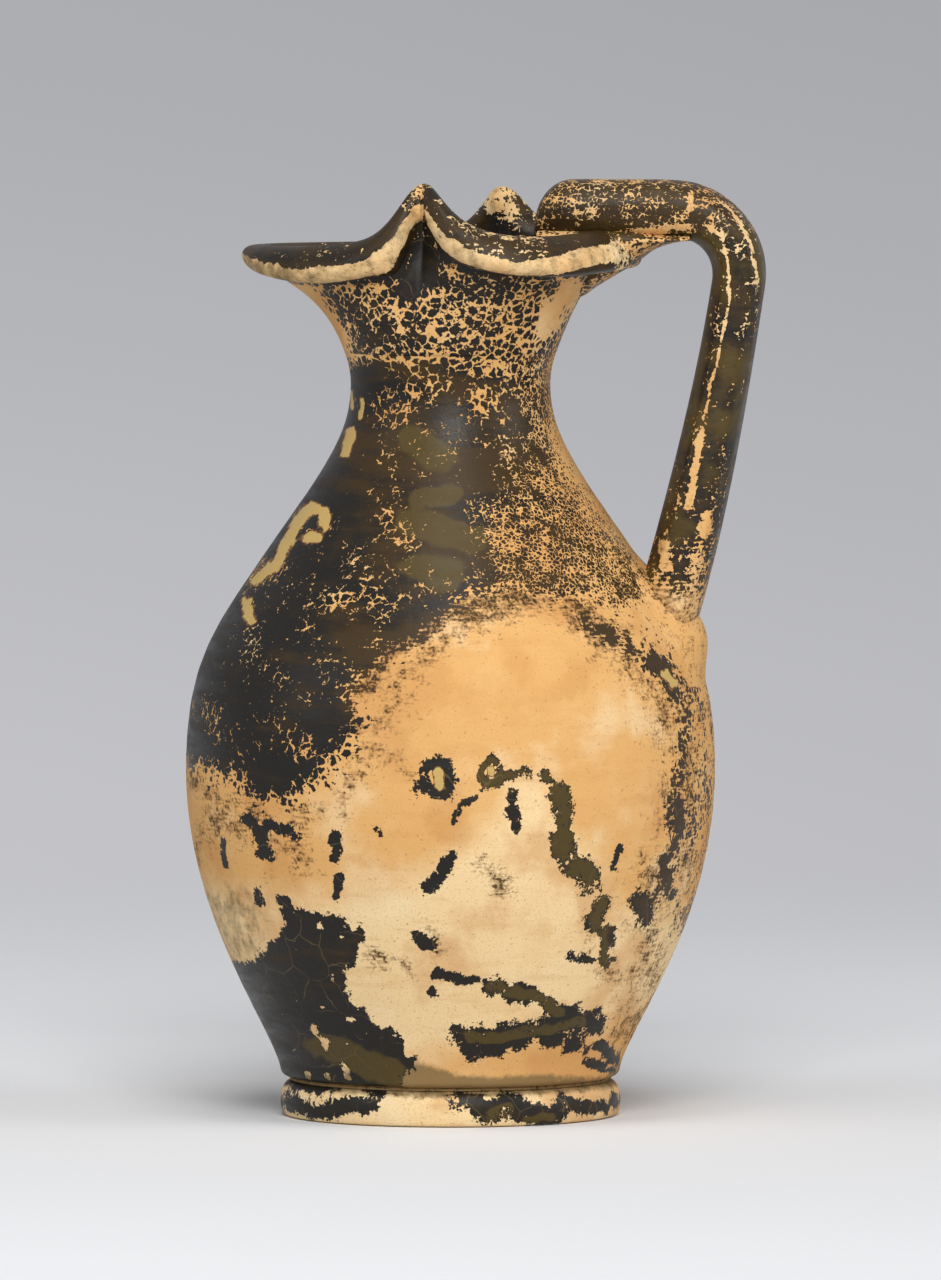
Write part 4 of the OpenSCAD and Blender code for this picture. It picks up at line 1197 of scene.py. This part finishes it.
def gloss_left(f, n, island_mm, fine_mm):
    """Whether gloss is left, and the stain and the stained places that hold it on bare clay.

    The crackled gloss stands where cover, plus raggedness, plus the distance to a crack up to its widest,
    passes its cut. The stain stands where mark, plus raggedness, passes its own.
    """
    fine = f.wear("fine")
    coarse_edge = f.cracks(1000.0 / island_mm, f.shifted(420.0, 0.0018))
    fine_edge = f.cracks(1000.0 / fine_mm, f.shifted(900.0, 0.0010))
    edge = f.math("MULTIPLY", coarse_edge, f.math("SUBTRACT", 1.0, fine))
    edge = f.math("MINIMUM", f.plus(edge, (fine_edge, fine)), WIDEST_CRACK)
    thin_scratches = f.math("MULTIPLY", n["scratched"], f.wear("smoke"))
    cover = f.plus(f.wear("cover"), (n["patchy"], 0.05), (n["crumbly"], 0.08), (n["gritty"], 0.05),
                   (thin_scratches, 0.12))
    crackled = f.step(f.math("ADD", cover, edge), *CRACKLE_CUT)
    stain = f.plus(f.wear("mark"), (n["crumbly"], 0.21), (n["gritty"], 0.13))
    stained = f.step(stain, *STAIN_CUT)
    return f.math("MAXIMUM", crackled, stained), stain, stained


# %% [markdown]
# Bare clay is orange to cream, with deeper and paler clouds. Over it lie the brown smoke of gloss worn thin,
# a layer of dirt that also carries painted shade, and dark specks. Each is a layer with its own noise, so no
# two patches look alike.
# Colours are written as on a screen, from 0 to 255, and turned into the amounts of light a renderer adds up.

# %% Colour of the bare clay
def linear(red, green, blue):
    """A screen colour of 0 to 255 as light values: c / 12.92 where dark, else ((c + 0.055) / 1.055)^2.4."""
    c = np.array([red, green, blue]) / 255
    c = np.where(c <= 0.04045, c / 12.92, ((c + 0.055) / 1.055) ** 2.4)
    return (*c.tolist(), 1.0)


ORANGE, DEEP_ORANGE = linear(227, 175, 108), linear(205, 145, 82)
CREAM, PALE_CREAM = linear(246, 215, 162), linear(250, 229, 186)
BLACK, BROWN_BLACK, OLIVE_BROWN = linear(29, 26, 22), linear(64, 46, 18), linear(82, 67, 28)
SMOKE_BROWN, CRUST, DIRT_AND_SHADE_BROWN = linear(112, 76, 40), linear(200, 168, 100), linear(122, 101, 64)


def clay_colour(f, n):
    """Orange mixed with cream by the cream number plus a slow noise, under eight thin layers."""
    clay_tone = f.math("MULTIPLY_ADD", n["patchy"], 0.16, f.wear("cream"), clamp=True)
    thin = f.plus(f.wear("smoke"), (n["crumbly"], 0.20), (n["gritty"], 0.16), (n["scratched"], 0.10))
    # The dirt layer also lays the painted shade on the belly's left edge.
    film = f.plus(f.wear("film"), (n["crumbly"], 0.16))
    speck = f.plus(thin, (n["gritty"], 0.1))
    return f.layered(f.mix(clay_tone, ORANGE, CREAM), [
        (n["cloudy"], 0.1, 1.1, 0.5, DEEP_ORANGE), (n["cloudy"], -0.2, -1.3, 0.4, PALE_CREAM),
        (n["banded"], 0.3, 1.2, 0.18, DEEP_ORANGE), (n["gritty"], 1.0, 1.5, 0.4, SMOKE_BROWN),
        (thin, 0.45, 0.95, 0.75, SMOKE_BROWN), (n["grain"], 0.2, 1.5, 0.35, DEEP_ORANGE),
        (film, 0.25, 0.8, 0.85, DIRT_AND_SHADE_BROWN), (speck, 0.92, 1.0, 0.85, BROWN_BLACK)])


print("orange clay as light:", np.round(ORANGE[:3], 2), "cream:", np.round(CREAM[:3], 2))

# %% [markdown]
# The gloss is never one black: bands fired brown, patches fired olive. A mark keeps a black rim, where the
# slip dried thickest, and long thin scars cross its middle.

# %% Colour of the gloss
def gloss_colour(f, n, stain, stained):
    """Black under brown and olive layers, black again at a mark's rim, crossed by pale scars."""
    tone = f.plus(f.wear("sepia"), (n["banded"], 0.28), (n["patchy"], 0.25))
    olive = f.plus(f.wear("olive"), (n["patchy"], 0.14))
    black = f.layered(BLACK, [(tone, 0.05, 0.95, 0.9, BROWN_BLACK), (olive, 0.36, 0.58, 0.88, OLIVE_BROWN)])
    rim = f.math("MULTIPLY", f.step(stain, 0.74, 0.60, 0.0, 0.8), stained)
    black = f.mix(rim, black, BLACK)
    scar_line = f.step(f.cracks(105.0, f.shifted(90.0, 0.006)), 0.016, 0.004, 0.0, 0.45)
    scar = f.math("MULTIPLY", scar_line, f.step(n["patchy"], -0.3, 0.4))
    black = f.mix(f.math("MULTIPLY", scar, stained), black, DIRT_AND_SHADE_BROWN)
    return f.layered(black, [(n["grain"], 0.5, 1.6, 0.3, BROWN_BLACK)])


# %% [markdown]
# The gloss stands a little proud of the clay and shines softly, while bare clay is dull. The crust stands
# higher still. These heights are far under a tenth of a millimetre, so a bump in the shading carries them.

# %% The whole finish
BARE_ROUGHNESS, BUMP_STRENGTH, BUMP_HEIGHT, SHINE = 0.74, 0.55, 0.00018, 0.26


def worn_gloss(name, island_mm, fine_mm):
    """Black gloss over clay, steered by the wear numbers, with crackle cells of about the given sizes.

    Roughness is gloss times the sheen plus bare times the clay's. Height adds gloss, grains and crust.
    """
    material = bpy.data.materials.new(name)
    f = Nodes(material)
    n = finish_noises(f)
    gloss, stain, stained = gloss_left(f, n, island_mm, fine_mm)
    flake = f.plus(f.wear("flake"), (n["crumbly"], 0.14))
    crust = f.step(flake, 0.52, 0.58)
    colour = f.mix(gloss, clay_colour(f, n), gloss_colour(f, n, stain, stained))
    colour = f.mix(crust, f.mix(f.step(flake, 0.40, 0.46), colour, SMOKE_BROWN), CRUST)
    bare = f.math("SUBTRACT", 1.0, gloss)
    sheen = f.step(n["banded"], -1.0, 1.0, 0.36, 0.50)
    height = f.plus(f.math("MULTIPLY", gloss, 0.6), (n["gritty"], 0.10), (n["crumbly"], 0.12),
                    (n["banded"], 0.12), (crust, 0.5))
    roughness = f.plus(f.math("MULTIPLY", gloss, sheen), (bare, BARE_ROUGHNESS))
    bump = f.node("ShaderNodeBump", {"Strength": BUMP_STRENGTH, "Distance": BUMP_HEIGHT, "Height": height})
    surface = f.node("ShaderNodeBsdfPrincipled", {
        "Base Color": colour, "Roughness": roughness, "Normal": bump.outputs["Normal"],
        "Specular IOR Level": SHINE})
    f.node("ShaderNodeOutputMaterial", {"Surface": surface.outputs["BSDF"]})
    print("finish", name, len(f.tree.nodes), "nodes")
    return material


# %% [markdown]
# Each piece takes the finish that its slot in the record names, stands for its solid and rides on the body.
# The sizes are the crackle's, coarse and fine: the thicker slip of the foot cracked into larger cells.

# %% Dress the pieces
CRACKLE_MM = {"foot_clay": (2.4, 1.4), "slip_clay": (1.6, 0.9), "belly_gloss": (2.2, 1.15),
              "neck_gloss": (2.2, 1.15), "mouth_gloss": (2.2, 1.15), "handle_gloss": (2.0, 1.3),
              "luting_clay": (2.2, 1.15)}
FINISHES = {name: worn_gloss(name, *sizes) for name, sizes in CRACKLE_MM.items()}
DRESSED = [
    (foot, "ring_foot", "foot_clay"),
    (seam, "foot_luting", "slip_clay"),
    (belly, "belly_wall", "belly_gloss"),
    (neck, "neck_wall", "neck_gloss"),
    (mouth, "trefoil_mouth", "mouth_gloss"),
    (handle, "handle", "handle_gloss"),
    (top_luting, "handle_top_luting", "handle_gloss"),
    (root_luting, "handle_root_luting", "luting_clay"),
]
for piece, node_name, slot_name in DRESSED:
    piece.data.materials.append(FINISHES[slot_name])
    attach(piece, "root")
    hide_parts(node_name)
print("dressed:", ", ".join(node_name for _, node_name, _ in DRESSED))

# %% [markdown]
# The jug stands on a wide pale floor. Near the jug it is lit paper, which keeps the soft shadow.
# Farther out it goes over into a plain glow that only the camera sees, pale grey and a little darker with
# distance, so the ground runs up behind the jug with no line. It is round, so every side has the same ground.

# %% Floor
FLOOR_COLUMNS = 96
ring_r = np.concatenate([[0.02], np.linspace(0.1, 1.5, 30), np.geomspace(1.7, 18.0, 24)])
floor_turn = np.linspace(0, 2 * np.pi, FLOOR_COLUMNS, endpoint=False)
floor_points = np.vstack([on_circle(ring_r[:, None], floor_turn, 0.0).reshape(-1, 3), [[0, 0, 0]]]) / MM
floor_faces = [face[::-1] for face in grid_quads(len(ring_r), FLOOR_COLUMNS, False, True)]
floor_faces += pole_fan(0, FLOOR_COLUMNS, len(floor_points) - 1, False)
floor_piece = mesh_piece("floor", floor_points, floor_faces)

# %% [markdown]
# A ray knows how it came to be. Rays straight from the camera, and those mirrored in gloss, see the pale
# ground. Those that only carry light about see a duller one, so the light on the jug stays plain.

# %% Rays that show the ground
def ground_rays(f):
    """1 for rays from the camera, mirrored or through glass, and 0 for the rest: the largest of the three."""
    rays = f.node("ShaderNodeLightPath")
    shown = f.math("MAXIMUM", rays.outputs["Is Camera Ray"], rays.outputs["Is Glossy Ray"])
    return f.math("MAXIMUM", shown, rays.outputs["Is Transmission Ray"])


# %% [markdown]
# The glow's grey changes with the view's slope down to it, which is the eye's height over the distance.
# So the ground pales towards the viewer and greys to the back, from whichever side the jug is seen.
# Paper and glow are also given painted shade towards the right, and the paper is painted a little paler
# behind the jug, where the lamps' light is weaker.

# %% Paper and glow of the floor
PAPER_BACK, PAPER_PAINTED_LIGHT, PAPER_SHADE = linear(246, 247, 249), linear(251, 252, 254), linear(120, 120, 124)
GROUND_FAR, GROUND_NEAR, DULL_PAPER = linear(171, 172, 176), linear(199, 199, 203), linear(222, 222, 224)
paper_material = bpy.data.materials.new("floor_paper")
sheet = Nodes(paper_material)
parts = sheet.node("ShaderNodeSeparateXYZ", {0: sheet.place})
away, across = (sheet.plus(sheet.math("MULTIPLY", parts.outputs[0], float(way[0])),
                           (parts.outputs[1], float(way[1]))) for way in (EYE_AWAY, EYE_RIGHT))
distance = sheet.node("ShaderNodeVectorMath", {0: sheet.place}, operation="LENGTH").outputs["Value"]
slope = sheet.math("DIVIDE", EYE_HEIGHT * MM, sheet.math("ADD", distance, EYE_DISTANCE * MM))
shown = ground_rays(sheet)
# Painted shade: paper and glow grow darker towards the right.
painted_shade_right = sheet.step(sheet.math("MULTIPLY", across, slope), -0.016, 0.016)
# Painted light: behind the jug the paper is a little paler, where the lamps' light is weaker.
paper = sheet.mix(sheet.step(away, -0.2, 0.4), PAPER_BACK, PAPER_PAINTED_LIGHT)
paper = sheet.mix(sheet.math("MULTIPLY", painted_shade_right, 0.06), paper, PAPER_SHADE)
paper_surface = sheet.node("ShaderNodeBsdfPrincipled", {
    "Base Color": sheet.mix(shown, DULL_PAPER, paper), "Roughness": 0.9, "Specular IOR Level": 0.1})
ground = sheet.mix(sheet.step(slope, 0.018, 0.082), GROUND_FAR, GROUND_NEAR)
# Painted shade on the glow, darker to the right.
ground = sheet.mix(sheet.math("MULTIPLY", painted_shade_right, 0.12), ground, PAPER_SHADE)
glow = sheet.node("ShaderNodeEmission", {"Color": ground})
glow_share = sheet.math("MULTIPLY", sheet.step(distance, 0.40, 0.95), shown)
paper_or_glow = sheet.node("ShaderNodeMixShader", {
    0: glow_share, 1: paper_surface.outputs["BSDF"], 2: glow.outputs["Emission"]})
sheet.node("ShaderNodeOutputMaterial", {"Surface": paper_or_glow.outputs["Shader"]})
floor_piece.data.materials.append(paper_material)
print("floor paper:", len(sheet.tree.nodes), "nodes")

# %% [markdown]
# A broad soft light from the viewer's side shows the belly's roundness, weaker ones from right and left fill
# its shade, and one from above lights the lip. A plain pale surround keeps the colours as they are written.

# %% Lights
LAMP_AIM = np.array([0, 0, 0.12])


def soft_light(name, azimuth, elevation, distance, size, power):
    """A square lamp aimed at the jug's middle, from degrees to the viewer's right and degrees up.

    It stands at the aim plus its distance times (sin a cos e, -cos a cos e, sin e).
    """
    a, e = np.radians(azimuth) + EYE_AZIMUTH, np.radians(elevation)
    lamp = bpy.data.lights.new(name, "AREA")
    lamp.shape = "SQUARE"
    lamp.size = size
    lamp.energy = power
    holder = bpy.data.objects.new(name, lamp)
    bpy.context.scene.collection.objects.link(holder)
    way = np.array([np.sin(a) * np.cos(e), -np.cos(a) * np.cos(e), np.sin(e)])
    holder.location = way * distance + LAMP_AIM
    holder.rotation_euler = (np.pi / 2 - e, 0.0, a)


soft_light("key", 2, 31, 3.0, 1.2, 53.0)
soft_light("right", 72, 20, 3.0, 1.6, 24.0)
soft_light("left", -65, 25, 3.0, 1.6, 13.0)
soft_light("top", 0, 70, 2.5, 1.0, 15.0)
print("lamps:", len(bpy.data.lights))

# %% [markdown]
# The surround is a faint even light, and past the floor's edge it shows the same grey as the far ground.

# %% Surround
world = bpy.data.worlds.new("surround")
surround = Nodes(world)
soft = surround.node("ShaderNodeBackground", {"Color": linear(236, 238, 242), "Strength": 0.2})
plain_ground = surround.node("ShaderNodeBackground", {"Color": GROUND_FAR})
either = surround.node("ShaderNodeMixShader", {
    0: ground_rays(surround), 1: soft.outputs["Background"], 2: plain_ground.outputs["Background"]})
surround.node("ShaderNodeOutputWorld", {"Surface": either.outputs["Shader"]})
bpy.context.scene.world = world
print("surround:", len(surround.tree.nodes), "nodes")

# %% [markdown]
# The camera stands far off and a little above, as the photograph's did: the handle is seen nearly side on.
# The view is shifted, not turned, to put the jug where the photograph has it.

# %% Camera
AIM_Z = 0.115
camera_data = bpy.data.cameras.new("camera")
camera_data.sensor_fit = "AUTO"
camera_data.sensor_width = 36.0
camera_data.lens = 566.5
camera_data.shift_x = 0.0156
camera_data.shift_y = 0.0102
camera_data.clip_end = 50.0
camera = bpy.data.objects.new("camera", camera_data)
bpy.context.scene.collection.objects.link(camera)
eye = (-EYE_AWAY * EYE_DISTANCE + np.array([0, 0, EYE_HEIGHT])) * MM
camera.location = eye
camera.rotation_euler = (np.pi / 2 - np.arctan2(eye[2] - AIM_Z, EYE_DISTANCE * MM), 0.0, EYE_AZIMUTH)
bpy.context.scene.camera = camera
bpy.context.scene.view_settings.view_transform = "Standard"
print("camera at", np.round(eye, 3), "m")
